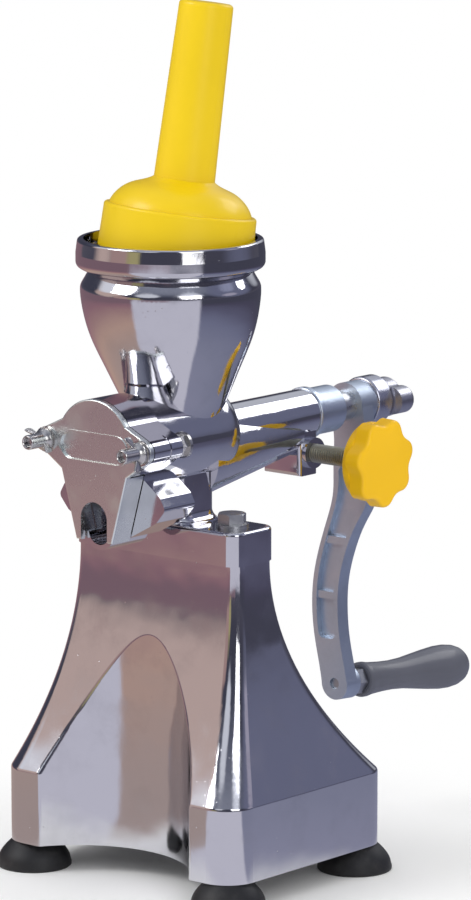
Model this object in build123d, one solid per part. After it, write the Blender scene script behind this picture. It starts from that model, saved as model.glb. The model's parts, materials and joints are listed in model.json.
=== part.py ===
"""Hand cranked wheatgrass juicer: cast aluminium head on a flared stand, millimetres, +Z up.

The origin is on the floor under the middle of the stand. The front cover faces -Y, the crank
is at the +Y end of the shaft and the pulp regulator's star knob is on the +X side.
"""
from build123d import *
import math
import os

# ------------------------------------------------------------------ driving dimensions
# Stand
base_width = 156.0
base_depth = 125.3
base_corner_radius = 16.6
band_height = 38.0
stand_top_z = 166.8
stand_top_width = 107.0
stand_top_depth = 29.0
stand_top_corner_radius = 6.0
stand_top_y = -15.0
stand_wall = 4.0
stand_top_plate = 6.0
flare_power = 2.0             # how sharply the walls sweep out towards the band
band_edge_round = 2.5
niche_share = 0.369231         # niche's radius over the base's width
niche_reach = 29.0            # depth of the glass niche at the band
niche_edge_round = 3.0

# Feet
foot_height = 14.2
foot_bottom_radius = 19.0
foot_top_radius = 11.5
foot_lip = 2.4
foot_ring = 2.0                # width of the flat ring that a foot stands on
foot_flank = [(18.4, 4.6), (17.4, 6.8), (15.9, 9.2), (13.9, 11.8)]
foot_screw_seat = 2.5          # rubber under the screw's head, above its recess
foot_recess_gap = 2.5          # round the screw's head
foot_cup_depth = 3.6
foot_inset = 13.0             # from each side of the band to the foot's centre
foot_boss_radius = 8.0
foot_boss_height = 24.0
foot_screw_radius = 3.0
foot_screw_head_radius = 5.5
foot_screw_head_height = 3.0
foot_screw_grip = 14.0        # thread length in the stand's boss

# Foot flange of the head and its bolts
flange_width = 108.0
flange_depth = 33.0
flange_thickness = 16.9
flange_corner_radius = 8.0
flange_top_round = 1.6
neck_width = 34.0
neck_depth = 30.0
neck_corner_radius = 9.0
neck_flare = 5.0
bolt_inset = 16.0             # from the flange's end to the bolt
bolt_radius = 4.0
bolt_hole_clearance = 0.4
bolt_head_width = 13.0        # across flats
bolt_head_height = 5.3
washer_radius = 8.5
washer_thickness = 1.6
nut_height = 6.5
bolt_stick_out = 3.0

# Barrel, shaft line and front opening
shaft_z = 223.0
barrel_front_y = -71.9
barrel_rear_y = -1.0
barrel_radius = 24.5
barrel_rise = 2.5             # the outside sits this much above the shaft line
bore_radius = 20.0
bore_rear_y = -1.0
collar_depth = 21.0

# Front cover
cover_thickness = 3.0
dome_radius = 24.5
dome_rise = 3.8               # dome centre above the shaft line
ear_x = 31.0
ear_rise = 5.2                # cover bolts above the shaft line
ear_radius = 6.2
ear_top_x = 20.4
ear_top_z = 240.0
shoulder_x = 21.5
shoulder_z = 214.5
cover_foot_x = 11.8
cover_foot_z = 180.3
skirt_depth = 10.0
skirt_wall = 2.2
cover_edge_round = 0.9
skirt_gap = 0.4               # between the cover's skirt and the head
panel_half_width = 21.5
panel_half_height = 6.8
panel_z = 227.0
panel_recess = 0.8
panel_rim = 1.0
panel_rim_height = 0.5
notch_radius = 8.6
notch_top_z = 200.0
gasket_thickness = 0.6
gasket_inset = 1.5

# Juice trough and spout under the barrel
trough_front_y = -62.0
trough_rear_y = -39.0
trough_outline = [(11.5, 181.5), (29.0, 191.0), (35.0, 198.0), (31.5, 204.0), (18.0, 214.0)]
trough_round = 3.0
spout_radius = 9.6
spout_bore_radius = 7.0
spout_z = 185.0
spout_front_gap = 1.0         # between the spout's lip and the back of the cover
juice_slot_rear_y = -45.0

# Side lugs, cover bolts and wing nuts
lug_band_y = -60.2            # turned band round each lug
lug_band_width = 1.0
lug_band_depth = 0.5
cover_bolt_radius = 2.4
cover_bolt_hole_clearance = 0.3
cover_bolt_hex = 10.0
cover_bolt_hex_height = 5.2
cover_bolt_cap_radius = 6.6
cover_bolt_cap_thickness = 1.8
wing_washer_radius = 6.4
wing_washer_thickness = 1.0
wing_base_radius = 5.6
wing_base_height = 2.5
wing_hub_radius = 3.7
wing_hub_length = 13.5
wing_bore_clearance = 0.08
wing_thickness = 2.2
wing_span = 9.4               # wing tip from the bolt's axis
wing_sweep = 4.5              # how far the wing tips lean forward
wing_chord = 5.4
wing_turn_left = 34.0
wing_turn_right = 67.0
bolt_end_recess = 2.5         # the bolt ends this deep inside the wing nut's hub

# Hopper
hopper_y = -17.4
hopper_top_z = 325.4
hopper_lip_radius = 46.4      # outside of the rim at its top edge
hopper_rim_radius = 47.3      # outside of the rim at its widest
hopper_rim_widest_drop = 7.0  # that place below the top edge
hopper_rim_height = 13.4
hopper_rim_round = 1.4
hopper_rim_under_round = 3.4  # rounding of the rim's lower edge
hopper_rim_wall = 3.0
hopper_groove_radius = 41.0
hopper_groove_drop = 16.6     # groove below the top edge
hopper_wall = 3.2
hopper_ledge_width = 2.3      # inner ledge over the groove
bowl_outline = [(42.7, 306.0), (45.1, 300.5), (45.0, 297.0), (43.9, 289.4), (40.7, 277.5), (35.5, 265.5),
                (30.2, 254.5), (25.6, 245.0)]
bowl_widest = 1                # that point of the outline
bowl_foot = (23.4, 228.0)
bowl_rear_reach = 9.0          # the bell's foot is drawn out backwards by this much
throat_radius = 14.0
hopper_joint_rise = 1.0       # joint between hopper and barrel, above the barrel's top

# Shaft sleeve, pulp duct and regulator block
sleeve_radius = 12.8
shoulder_radius = 14.0        # where the barrel's rounded rear end meets the sleeve
shoulder_length = 17.5
shoulder_sections = [(0.0, 1.0), (0.2, 0.985), (0.4, 0.93), (0.6, 0.8), (0.8, 0.52), (1.0, 0.0)]
sleeve_rear_y = 85.5
bush_wall = 2.0
bush_length = 16.0
keel_front_y = -6.0
keel_front_radius = 21.6
keel_front_z = 213.0
keel_rear_y = 74.0
keel_rear_radius = 11.4
keel_rear_z = 215.0
duct_overlap = 3.0            # the duct starts this far inside the bore
duct_front_radius = 8.5
duct_front_z = 204.6
duct_rear_radius = 4.0
duct_rear_z = 209.3
block_front_y = 71.0
block_rear_y = 85.5
block_left_x = -14.0
block_right_x = 10.5
block_bottom_z = 193.0
block_round = 2.0
outlet_radius = 4.0
outlet_x = -4.5
regulator_y = 80.5
regulator_z = 204.5
regulator_boss_radius = 8.0
regulator_boss_length = 2.5

# Regulator screw and star knob
regulator_radius = 4.93
regulator_bore_clearance = 0.07
regulator_pitch = 1.5
regulator_thread_depth = 0.75
regulator_thread_margin = 5.0 # plain length outside the boss, for the screw's travel
regulator_bore_end_x = -10.0
regulator_tip_x = 1.5
regulator_tip_length = 3.0
regulator_pin_radius = 1.5
regulator_pin_length = 2.5
knob_back_x = 47.0
knob_disc_radius = 20.3
knob_disc_thickness = 4.2
knob_disc_round = 0.8
knob_thickness = 13.0
knob_lobes = 7
knob_radius = 23.4
knob_lobe_radius = 5.6
knob_valley_radius = 17.6
knob_valley_round = 2.2
knob_first_lobe = 14.5        # angle of the first lobe from +Y
knob_round = 2.0
knob_socket_depth = 9.0

# Shaft and auger
shaft_radius = 6.5
running_clearance = 0.06
auger_front_y = -68.5
auger_rear_y = -5.0
auger_radius = 18.2
auger_core_radius = 9.0
auger_root_radius = 12.5      # core grows towards the press end
auger_pitch = 16.0
auger_land = 3.2
auger_flight_root_width = 5.5
auger_nose_radius = 4.5
auger_nose_length = 3.1       # journal that runs in the cover's bearing boss
bearing_boss_radius = 8.5
bearing_boss_gap = 0.5
strainer_wall = 1.0
fit_clearance = 0.04          # between pieces that stay fixed to each other
strainer_front_y = -68.0
strainer_rear_y = -34.5
strainer_hole_radius = 0.9
strainer_hole_rows = 6
strainer_hole_pitch = 3.0
strainer_holes_per_row = 9
strainer_hole_arc = 110.0
drain_radius = 21.4           # relief in the barrel around the strainer's holes
drain_top_z = 216.0
end_ring_radius = 13.6
end_ring_thickness = 4.0
thrust_collar_radius = 12.3
thrust_collar_length = 17.7
thrust_gap = 0.3
thrust_clearance = 0.4
hub_spacer_radius = 8.2
shaft_flat_width = 9.0        # square end that drives the crank

# Crank arm
arm_front_y = 120.5
arm_thickness = 8.5
arm_head_radius = 11.6
arm_head_thickness = 12.5
crank_throw = 149.6           # shaft line down to the grip's spindle
spindle_x = -6.5
arm_boss_radius = 8.6
arm_boss_thickness = 11.5
arm_rim = 3.0
arm_recess = 3.2
arm_recess_start = 0.125
arm_recess_end = 0.915
arm_stations = [(0.12, 3.2, 21.0), (0.22, 3.4, 22.0), (0.32, 3.6, 23.0), (0.42, -2.3, 19.6),
                (0.52, -8.2, 17.8), (0.635, -12.4, 17.2), (0.742, -13.1, 17.2),
                (0.842, -11.5, 17.0), (0.936, -8.4, 17.0)]
arm_ribs = [0.487, 0.688]     # shares of the throw where the web has a cross rib
arm_rib_width = 4.0
arm_rib_height = 2.4
socket_clearance = 0.1

# Crank clamp: black ring and winged thumb bolt
ring_radius = 13.0
ring_thickness = 12.0
ring_round = 1.5
thumb_hub_radius = 10.5
thumb_wing_x = 11.3
thumb_wing_radius = 7.2
thumb_thickness = 11.5
thumb_round = 2.6
thumb_screw_radius = 3.0
thumb_screw_length = 24.0
thumb_screw_end_gap = 1.5

# Grip
grip_splay = 4.0              # spindle tips outward by this angle
lock_nut_width = 13.0
lock_nut_height = 8.0
spindle_radius = 4.0
spindle_neck_radius = 3.0
spindle_neck_recess = 1.5     # the neck ends this far inside the boss
grip_gap = 0.3
grip_length = 87.0
grip_flange_radius = 9.3
grip_flange_length = 4.0
grip_stations = [(0.09, 8.5), (0.3, 7.8), (0.55, 9.6), (0.82, 11.75), (0.95, 10.2)]
grip_end_radius = 7.0
grip_bore_clearance = 0.06
grip_bore_depth = 70.0
spindle_end_gap = 1.0

# Pusher
pusher_lean = 8.1
pusher_heading = 66.8         # direction of the lean, from +X towards +Y
pusher_pivot_z = 300.0        # where the leaning axis crosses the hopper's axis
pusher_rise = 14.8            # bottom of the skirt above that point, along its axis
pusher_skirt_radius = 38.9
pusher_skirt_start = 1.9      # bottom edge of the skirt above the pusher's own zero
pusher_skirt_top_radius = 38.2
pusher_skirt_height = 24.8
pusher_wall = 2.2
pusher_round = 1.5
pusher_web_drop = 3.0         # web that carries the dome, below the skirt's top
pusher_dome_radius = 35.8
pusher_dome_points = [(35.2, 26.3), (31.8, 31.2), (25.8, 35.5), (19.5, 37.8)]
pusher_handle_radius = 15.3
pusher_handle_top_radius = 13.5
pusher_handle_base = 40.0
pusher_length = 128.4
pusher_top_round = 2.2
pusher_stem_radius = 12.0
pusher_stem_length = 48.0     # stem below the skirt's edge

# ------------------------------------------------------------------ values that follow
dome_z = shaft_z + dome_rise
lug_rear_y = barrel_front_y + collar_depth
ear_z = shaft_z + ear_rise
band_top_z = foot_height + band_height
bush_radius = shaft_radius + bush_wall
cover_back_y = barrel_front_y - gasket_thickness
cover_front_y = cover_back_y - cover_thickness
flange_top_z = stand_top_z + flange_thickness
washer_top_z = flange_top_z + washer_thickness
niche_radius = base_width * niche_share
niche_y = -base_depth / 2 + niche_reach - niche_radius
stand_ceiling_z = stand_top_z - stand_top_plate
bolt_x = flange_width / 2 - bolt_inset
spindle_z = shaft_z - crank_throw
arm_back_y = arm_front_y + arm_head_thickness
ring_back_y = arm_back_y + ring_thickness
collar_front_y = sleeve_rear_y + end_ring_thickness + thrust_gap
collar_back_y = collar_front_y + thrust_collar_length


# ------------------------------------------------------------------ helpers
def slab(sketch, front_y, back_y):
    """Sweep a sketch drawn in X and Z from front_y back to back_y."""
    plane = Plane(origin=(0, back_y, 0), x_dir=(1, 0, 0), z_dir=(0, -1, 0))
    return extrude(plane * sketch, amount=back_y - front_y)


def rod_y(radius, front_y, back_y, x=0.0, z=shaft_z):
    """Round bar along Y."""
    return slab(Pos(x, z) * Circle(radius), front_y, back_y)


def rod_x(radius, left_x, right_x, y, z):
    """Round bar along X."""
    return Pos((left_x + right_x) / 2, y, z) * Rot(Y=90) * Cylinder(radius, right_x - left_x)


def rod_z(radius, bottom_z, top_z, x=0.0, y=0.0):
    """Round bar along Z."""
    return Pos(x, y, (bottom_z + top_z) / 2) * Cylinder(radius, top_z - bottom_z)


def block(x0, x1, y0, y1, z0, z1):
    """Box between two opposite corners."""
    return Pos((x0 + x1) / 2, (y0 + y1) / 2, (z0 + z1) / 2) * Box(x1 - x0, y1 - y0, z1 - z0)


def turned(points):
    """Solid of revolution about Z from (radius, height) points."""
    return revolve(Plane.XZ * make_face(Polyline(*points, close=True)), Axis.Z)


def on_shaft(shape):
    """Turn a solid made about Z so that its +Z runs along +Y on the shaft line."""
    return Pos(0, 0, shaft_z) * Rot(X=-90) * shape


def corners(half_x, half_y):
    """The four corners of a rectangle centred on the origin, with their names."""
    return [("front_left", -half_x, -half_y), ("front_right", half_x, -half_y),
            ("rear_left", -half_x, half_y), ("rear_right", half_x, half_y)]


# ------------------------------------------------------------------ stand and feet
def stand_section(z, inset):
    """Rounded rectangle of the flared tower at a height, pulled in by inset."""
    rise = (stand_top_z - z) / (stand_top_z - band_top_z)
    spread = rise ** flare_power
    width = stand_top_width + (base_width - stand_top_width) * spread - 2 * inset
    depth = stand_top_depth + (base_depth - stand_top_depth) * spread - 2 * inset
    radius = stand_top_corner_radius + (base_corner_radius - stand_top_corner_radius) * spread - inset
    return Pos(0, stand_top_y * (1 - spread), z) * RectangleRounded(width, depth, radius)


def flared_tower(top_z, inset):
    """Concave flare from the band up to top_z."""
    steps = 6
    heights = [band_top_z + (top_z - band_top_z) * i / steps for i in range(steps + 1)]
    return loft([stand_section(z, inset) for z in heights])


def stand_band(inset, bottom_z):
    """Straight band at the foot of the stand."""
    outline = RectangleRounded(base_width - 2 * inset, base_depth - 2 * inset, base_corner_radius - inset)
    return extrude(Pos(0, 0, bottom_z) * outline, amount=band_top_z - bottom_z)


def level_edges(solid, z):
    """Edges that lie at a height all along."""
    boxes = [(edge, edge.bounding_box()) for edge in solid.edges()]
    return [edge for edge, box in boxes if abs(box.min.Z - z) < 0.01 and abs(box.max.Z - z) < 0.01]


def niche_edges(stand):
    """Front edges of the glass niche, without its arc on the underside."""
    def on_niche(point):
        return abs(math.hypot(point.X, point.Y - niche_y) - niche_radius) < 0.05
    found = []
    for edge in stand.edges():
        points = [edge @ share for share in (0.0, 0.25, 0.5, 0.75, 1.0)]
        level = max(p.Z for p in points) - min(p.Z for p in points) < 0.01
        if all(on_niche(p) for p in points) and not level:
            found.append(edge)
    return found


def stand_tower():
    """Flared hollow tower on its straight band, with the arched niche for a glass in front."""
    outside = flared_tower(stand_top_z, 0) + stand_band(0, foot_height)
    outside = fillet(level_edges(outside, band_top_z), band_edge_round)
    outside = outside - rod_z(niche_radius, 0, stand_top_z, 0, niche_y)
    outside = fillet(niche_edges(outside), niche_edge_round)
    hollow = flared_tower(stand_ceiling_z, stand_wall) + stand_band(stand_wall, foot_height - 1)
    hollow = hollow - rod_z(niche_radius + stand_wall, 0, stand_top_z, 0, niche_y)
    tower = outside - hollow
    half_x, half_y = base_width / 2 - foot_inset, base_depth / 2 - foot_inset
    for _, x, y in corners(half_x, half_y):
        post = rod_z(foot_boss_radius, foot_height, foot_height + foot_boss_height, x, y)
        tower = tower + (post & (stand_band(0, foot_height)))
    for _, x, y in corners(half_x, half_y):
        tower = tower - rod_z(foot_screw_radius, foot_height - 1, foot_height + foot_screw_grip, x, y)
    for x in (-bolt_x, bolt_x):
        hole_radius = bolt_radius + bolt_hole_clearance
        tower = tower - rod_z(hole_radius, stand_ceiling_z - 1, stand_top_z + 1, x, stand_top_y)
    return tower


def foot():
    """Suction foot, turned about Z, standing on the floor."""
    ledge = foot_height - foot_screw_head_height - foot_screw_seat
    top = [(foot_screw_radius, ledge), (foot_screw_radius, foot_height), (foot_top_radius, foot_height)]
    lip = [(foot_bottom_radius, foot_lip), (foot_bottom_radius, 0), (foot_bottom_radius - foot_ring, 0)]
    recess = foot_screw_head_radius
    cup = [(recess + foot_recess_gap, foot_cup_depth), (recess, foot_cup_depth), (recess, ledge)]
    return turned(top + foot_flank[::-1] + lip + cup)


def foot_screw():
    """Pan head screw that holds a foot, head up inside the cup."""
    ledge = foot_height - foot_screw_head_height - 2.5
    head = rod_z(foot_screw_head_radius - 0.3, ledge - foot_screw_head_height, ledge)
    shank = rod_z(foot_screw_radius, ledge, foot_height + foot_screw_grip)
    return head + shank


# ------------------------------------------------------------------ outlines of the front
def ear_outline(side):
    """Pointed ear that carries one cover bolt; side is -1 or +1."""
    tip = Pos(side * ear_x, ear_z) * Circle(ear_radius)
    root = Line((side * ear_top_x, ear_top_z), (side * shoulder_x, shoulder_z))
    inner = Line((side * ear_top_x, ear_top_z), (0, shoulder_z))
    return make_hull([tip.edge(), root, inner])


def cover_outline():
    """Front view of the cover: dome, two ears and the tapering chin."""
    dome = Pos(0, dome_z) * Circle(dome_radius)
    chin = make_face(Polyline((-shoulder_x, shoulder_z), (-cover_foot_x, cover_foot_z),
                              (cover_foot_x, cover_foot_z), (shoulder_x, shoulder_z),
                              (0, dome_z), close=True))
    return dome + ear_outline(-1) + ear_outline(1) + chin


def above(sketch, z):
    """Part of an X-Z sketch above a height."""
    reach = 4 * dome_radius
    return sketch & (Pos(0, z + reach / 2) * Rectangle(2 * reach, reach))


def below(sketch, z):
    """Part of an X-Z sketch below a height."""
    reach = 4 * dome_radius
    return sketch & (Pos(0, z - reach / 2) * Rectangle(2 * reach, reach))


skirt_top_z = shoulder_z - skirt_gap


# ------------------------------------------------------------------ head casting
def circles_at(solid, z):
    """Round edges of a solid at a height."""
    return [e for e in solid.edges().filter_by(GeomType.CIRCLE) if abs(e.center().Z - z) < 0.01]


def hopper_bell():
    """Bell under the hopper's widest place, drawn out backwards towards its foot."""
    sections = []
    top_z = bowl_outline[bowl_widest][1]
    for radius, z in bowl_outline[bowl_widest:] + [bowl_foot]:
        share = (top_z - z) / (top_z - bowl_foot[1])
        half = bowl_rear_reach / 2 * share ** 1.5
        place = Plane(origin=(0, hopper_y + half, z), x_dir=(0, 1, 0), z_dir=(0, 0, 1))
        sections.append(place * Ellipse(radius + half, radius))
    return loft(sections)


def hopper_outside():
    """Outer bell of the hopper, with the rolled rim and the groove under it."""
    rim_bottom = hopper_top_z - hopper_rim_height
    groove = (hopper_groove_radius, hopper_top_z - hopper_groove_drop)
    rim = Polyline((0, hopper_top_z), (hopper_lip_radius, hopper_top_z),
                   (hopper_rim_radius, hopper_top_z - hopper_rim_widest_drop),
                   (hopper_rim_radius, rim_bottom), groove)
    widest = bowl_outline[bowl_widest]
    brow = Spline(groove, *bowl_outline[:bowl_widest + 1], tangents=((1, -1), (0, -1)),
                  tangent_scalars=(0.6, 1))
    foot_line = Polyline(widest, (0, widest[1]), (0, hopper_top_z))
    solid = revolve(Plane.XZ * make_face(rim + brow + foot_line), Axis.Z)
    solid = fillet(circles_at(solid, hopper_top_z), hopper_rim_round)
    solid = fillet(circles_at(solid, rim_bottom), hopper_rim_under_round)
    return Pos(0, hopper_y, 0) * solid + hopper_bell()


def hopper_inside():
    """Bowl of the hopper down to the throat, with the ledge that the pusher rests on."""
    mouth = hopper_lip_radius - hopper_rim_wall
    ledge_z = hopper_top_z - hopper_rim_height + hopper_ledge_width
    seat = (hopper_groove_radius - hopper_ledge_width, hopper_top_z - hopper_groove_drop)
    rim = Polyline((0, hopper_top_z + 1), (mouth, hopper_top_z + 1), (mouth, ledge_z), seat)
    wall = [(r - hopper_wall, z) for r, z in bowl_outline]
    last = wall[-1]
    bowl = Spline(seat, *wall)
    foot_line = Polyline(last, (throat_radius, last[1] - 5), (throat_radius, shaft_z), (0, shaft_z),
                         (0, hopper_top_z + 1))
    return Pos(0, hopper_y, 0) * revolve(Plane.XZ * make_face(rim + bowl + foot_line), Axis.Z)


def above_joint(shape, keep_top):
    """Part of a solid above, or below, the level joint between the hopper and the barrel."""
    joint_z = shaft_z + barrel_rise + barrel_radius + hopper_joint_rise
    reach = 4 * hopper_rim_radius
    low, high = (joint_z, joint_z + reach) if keep_top else (joint_z - reach, joint_z)
    return shape & block(-reach, reach, -reach, reach, low, high)


def hopper():
    """Bell of the hopper above its joint with the barrel."""
    return above_joint(hopper_outside() - hopper_inside(), True)


def half_to_full(points):
    """Close a right-hand outline with its mirror image."""
    return points + [(-x, z) for x, z in reversed(points)]


def trough():
    """Wide juice trough under the barrel, with rounded rear edges."""
    outline = make_face(Polyline(*half_to_full(trough_outline), close=True))
    body = slab(outline, trough_front_y, trough_rear_y)
    low_z, high_z = trough_outline[0][1], trough_outline[-1][1]
    sides = [e for e in body.edges().filter_by(Axis.Y) if abs(e.center().X) > shoulder_x]
    return fillet([e for e in sides if low_z < e.center().Z < high_z], trough_round)


def head_foot():
    """Bolted foot flange with the short neck that rises from it."""
    outline = RectangleRounded(flange_width, flange_depth, flange_corner_radius)
    plate = extrude(Pos(0, stand_top_y, stand_top_z) * outline, amount=flange_thickness)
    top_edges = [e for e in plate.edges() if e.bounding_box().min.Z > flange_top_z - 0.01]
    plate = fillet(top_edges, flange_top_round)
    neck_outline = RectangleRounded(neck_width, neck_depth, neck_corner_radius)
    neck = extrude(Pos(0, stand_top_y, flange_top_z - 1) * neck_outline, amount=shaft_z - flange_top_z)
    joined = plate + neck
    around = block(-neck_width / 2 - 1, neck_width / 2 + 1, stand_top_y - neck_depth / 2 - 1,
                   stand_top_y + neck_depth / 2 + 1, flange_top_z - 1, flange_top_z + 1)
    seam = [e for e in level_edges(joined, flange_top_z) if around.is_inside(e.center())]
    joined = fillet(seam, neck_flare)
    hole_radius = bolt_radius + bolt_hole_clearance
    for x in (-bolt_x, bolt_x):
        joined = joined - rod_z(hole_radius, stand_top_z - 1, flange_top_z + 1, x, stand_top_y)
    return joined


def disc_at(y, z, radius):
    """Upright disc across the shaft line, for lofts along Y."""
    return Plane(origin=(0, y, z), x_dir=(1, 0, 0), z_dir=(0, -1, 0)) * Circle(radius)


def keel():
    """Tapering pulp duct housing under the shaft sleeve."""
    return loft([disc_at(keel_front_y, keel_front_z, keel_front_radius),
                 disc_at(keel_rear_y, keel_rear_z, keel_rear_radius)])


def rear_shoulder():
    """Rounded rear end of the barrel, drawn in to the sleeve."""
    sections = []
    for share, reach in shoulder_sections:
        radius = shoulder_radius + (barrel_radius - shoulder_radius) * reach
        y = barrel_rear_y + share * shoulder_length
        sections.append(disc_at(y, shaft_z + barrel_rise * reach, radius))
    return loft(sections)


def pulp_duct():
    """Passage from the barrel back to the regulator and down to the outlet."""
    run = loft([disc_at(bore_rear_y - duct_overlap, duct_front_z, duct_front_radius),
                disc_at(block_front_y, duct_rear_z, duct_rear_radius)])
    run = run + rod_y(duct_rear_radius, block_front_y, regulator_y, 0, duct_rear_z)
    return run + rod_z(outlet_radius, block_bottom_z - 1, duct_rear_z, outlet_x, regulator_y)


def regulator_block():
    """Cross block at the end of the duct, threaded for the regulator screw."""
    top_z = shaft_z - sleeve_radius / 2
    body = block(block_left_x, block_right_x, block_front_y, block_rear_y, block_bottom_z, top_z)
    lower = body.edges().filter_by(Axis.X).group_by(Axis.Z)[0]
    body = fillet(lower + body.edges().filter_by(Axis.Z), block_round)
    boss_end_x = block_right_x + regulator_boss_length
    boss = rod_x(regulator_boss_radius, block_right_x - 1, boss_end_x, regulator_y, regulator_z)
    return body + boss


def lug_band(side):
    """Shallow groove round the outer half of a lug."""
    back_y = lug_band_y + lug_band_width
    core = rod_y(ear_radius - lug_band_depth, lug_band_y - 1, back_y + 1)
    ring = rod_y(ear_radius + 1, lug_band_y, back_y) - core
    outer = block(0, ear_radius + 1, lug_band_y, back_y, shaft_z - ear_radius - 1, shaft_z + ear_radius + 1)
    groove = Pos(ear_x, 0, ear_rise) * (ring & outer)
    return groove if side > 0 else mirror(groove, about=Plane.YZ)


def head_casting():
    collar = slab(above(cover_outline(), shoulder_z), barrel_front_y, barrel_front_y + collar_depth)
    barrel = rod_y(barrel_radius, trough_front_y, barrel_rear_y, 0, shaft_z + barrel_rise)
    head = collar + barrel + trough() + head_foot() + keel()
    head = head + rear_shoulder() + rod_y(sleeve_radius, barrel_rear_y, sleeve_rear_y) + regulator_block()
    head = head + above_joint(hopper_outside(), False)
    spout_front_y = cover_back_y + spout_front_gap
    spout = rod_y(spout_radius, spout_front_y, juice_slot_rear_y, 0, spout_z)
    above_lip = block(-spout_radius, spout_radius, spout_front_y - 1, trough_front_y,
                      spout_z - 1, spout_z + spout_radius)
    head = head + (spout - above_lip)
    head = head - rod_y(bore_radius, barrel_front_y - 1, bore_rear_y)
    drain = rod_y(drain_radius, trough_front_y, juice_slot_rear_y)
    lower_half = block(-drain_radius, drain_radius, trough_front_y, juice_slot_rear_y, 0, drain_top_z)
    head = head - (drain & lower_half)
    head = head - hopper_inside() - pulp_duct()
    head = head - rod_y(spout_bore_radius, spout_front_y - 1, juice_slot_rear_y, 0, spout_z)
    head = head - block(-spout_bore_radius, spout_bore_radius, spout_front_y - 1, juice_slot_rear_y,
                        spout_z, shaft_z)
    head = head - rod_y(bush_radius, bore_rear_y - 1, sleeve_rear_y + 1)
    head = head - rod_x(regulator_radius + regulator_bore_clearance, regulator_bore_end_x,
                        block_right_x + regulator_boss_length + 1, regulator_y, regulator_z)
    hole_radius = cover_bolt_radius + cover_bolt_hole_clearance
    for side in (-1, 1):
        head = head - rod_y(hole_radius, barrel_front_y - 1, lug_rear_y + 1, side * ear_x, ear_z)
        head = head - lug_band(side)
    return head


# ------------------------------------------------------------------ flange fasteners
def hex_prism(width, bottom_z, top_z):
    """Hexagonal prism about Z, width across flats."""
    outline = Pos(0, 0, bottom_z) * RegularPolygon(width / 2, 6, major_radius=False)
    return extrude(outline, amount=top_z - bottom_z)


def chamfered_hex(width, bottom_z, top_z, chamfered_top):
    """Hexagon with its corners turned off at one end."""
    prism = hex_prism(width, bottom_z, top_z)
    corner = width / math.sqrt(3)
    height = top_z - bottom_z
    bite = (corner - width / 2) * 0.6
    near, far = (bottom_z, top_z) if chamfered_top else (top_z, bottom_z)
    step = bite if chamfered_top else -bite
    cone = turned([(0, near), (corner + 0.1, near), (corner + 0.1, far - step),
                   (width / 2 + 0.1, far), (0, far)])
    return prism & cone if height > bite else prism


def flange_bolt():
    """Hex bolt through the head's foot and the stand's top plate."""
    head = chamfered_hex(bolt_head_width, washer_top_z, washer_top_z + bolt_head_height, True)
    tip_z = stand_ceiling_z - washer_thickness - nut_height - bolt_stick_out
    return head + rod_z(bolt_radius, tip_z, washer_top_z)


def washer(inner, outer, bottom_z, thickness):
    """Flat washer about Z."""
    return rod_z(outer, bottom_z, bottom_z + thickness) - rod_z(inner, bottom_z - 1, bottom_z + thickness + 1)


def flange_washer_pair():
    """Upper washer under the head and lower one above the nut."""
    inner = bolt_radius + bolt_hole_clearance
    return [washer(inner, washer_radius, flange_top_z, washer_thickness),
            washer(inner, washer_radius, stand_ceiling_z - washer_thickness, washer_thickness)]


def flange_nut():
    top_z = stand_ceiling_z - washer_thickness
    nut = chamfered_hex(bolt_head_width, top_z - nut_height, top_z, False)
    return nut - rod_z(bolt_radius + fit_clearance, top_z - nut_height - 1, top_z + 1)


# ------------------------------------------------------------------ front cover group
def cover_holes(front_y, back_y):
    """Clearance holes for the two cover bolts."""
    radius = cover_bolt_radius + cover_bolt_hole_clearance
    return rod_y(radius, front_y, back_y, -ear_x, ear_z) + rod_y(radius, front_y, back_y, ear_x, ear_z)


def front_cover():
    """Cover plate with a bare recessed panel, the juice notch and a skirt behind the chin."""
    outline = cover_outline()
    plate = slab(outline, cover_front_y, cover_back_y)
    front_edges = [e for e in plate.edges() if e.bounding_box().max.Y < cover_front_y + 0.01]
    plate = fillet(front_edges, cover_edge_round)
    chin = below(outline, skirt_top_z)
    inner = offset(outline, -skirt_wall)
    skirt_back_y = cover_back_y + skirt_depth
    skirt = slab(chin, cover_back_y, skirt_back_y) - slab(inner, cover_back_y - 1, skirt_back_y + 1)
    skirt = skirt - block(-cover_foot_x, cover_foot_x, cover_back_y, skirt_back_y + 1, cover_foot_z - 1,
                          cover_foot_z + skirt_wall + 1)
    bearing_y = auger_front_y - bearing_boss_gap
    cover = plate + skirt + rod_y(bearing_boss_radius, cover_back_y, bearing_y)
    cover = cover - rod_y(auger_nose_radius + running_clearance, cover_back_y, bearing_y + 1)
    panel = Pos(0, panel_z) * SlotOverall(2 * panel_half_width, 2 * panel_half_height)
    half_width, half_height = panel_half_width + panel_rim, panel_half_height + panel_rim
    rim = Pos(0, panel_z) * SlotOverall(2 * half_width, 2 * half_height)
    cover = cover + slab(rim, cover_front_y - panel_rim_height, cover_front_y + 1)
    cover = cover - slab(panel, cover_front_y - panel_rim_height - 1, cover_front_y + panel_recess)
    arch_z = notch_top_z - notch_radius
    arch = Pos(0, arch_z) * Circle(notch_radius)
    mouth = Pos(0, (arch_z + cover_foot_z) / 2 - 1) * Rectangle(2 * notch_radius, arch_z - cover_foot_z + 2)
    cover = cover - slab(arch + mouth, cover_front_y - 1, cover_back_y)
    return cover - cover_holes(cover_front_y - 1, cover_back_y + 1)


def cover_gasket():
    """Thin gasket between the cover and the collar of the barrel."""
    outline = offset(above(cover_outline(), shoulder_z), -gasket_inset)
    ring = outline - (Pos(0, shaft_z) * Circle(bore_radius + 1))
    return slab(ring, cover_back_y, barrel_front_y) - cover_holes(cover_back_y - 1, barrel_front_y + 1)


def forward(shape, x):
    """Turn a solid made about Z so that its +Z runs along -Y on a cover bolt's line."""
    return Pos(x, 0, ear_z) * Rot(X=90) * shape


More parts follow.
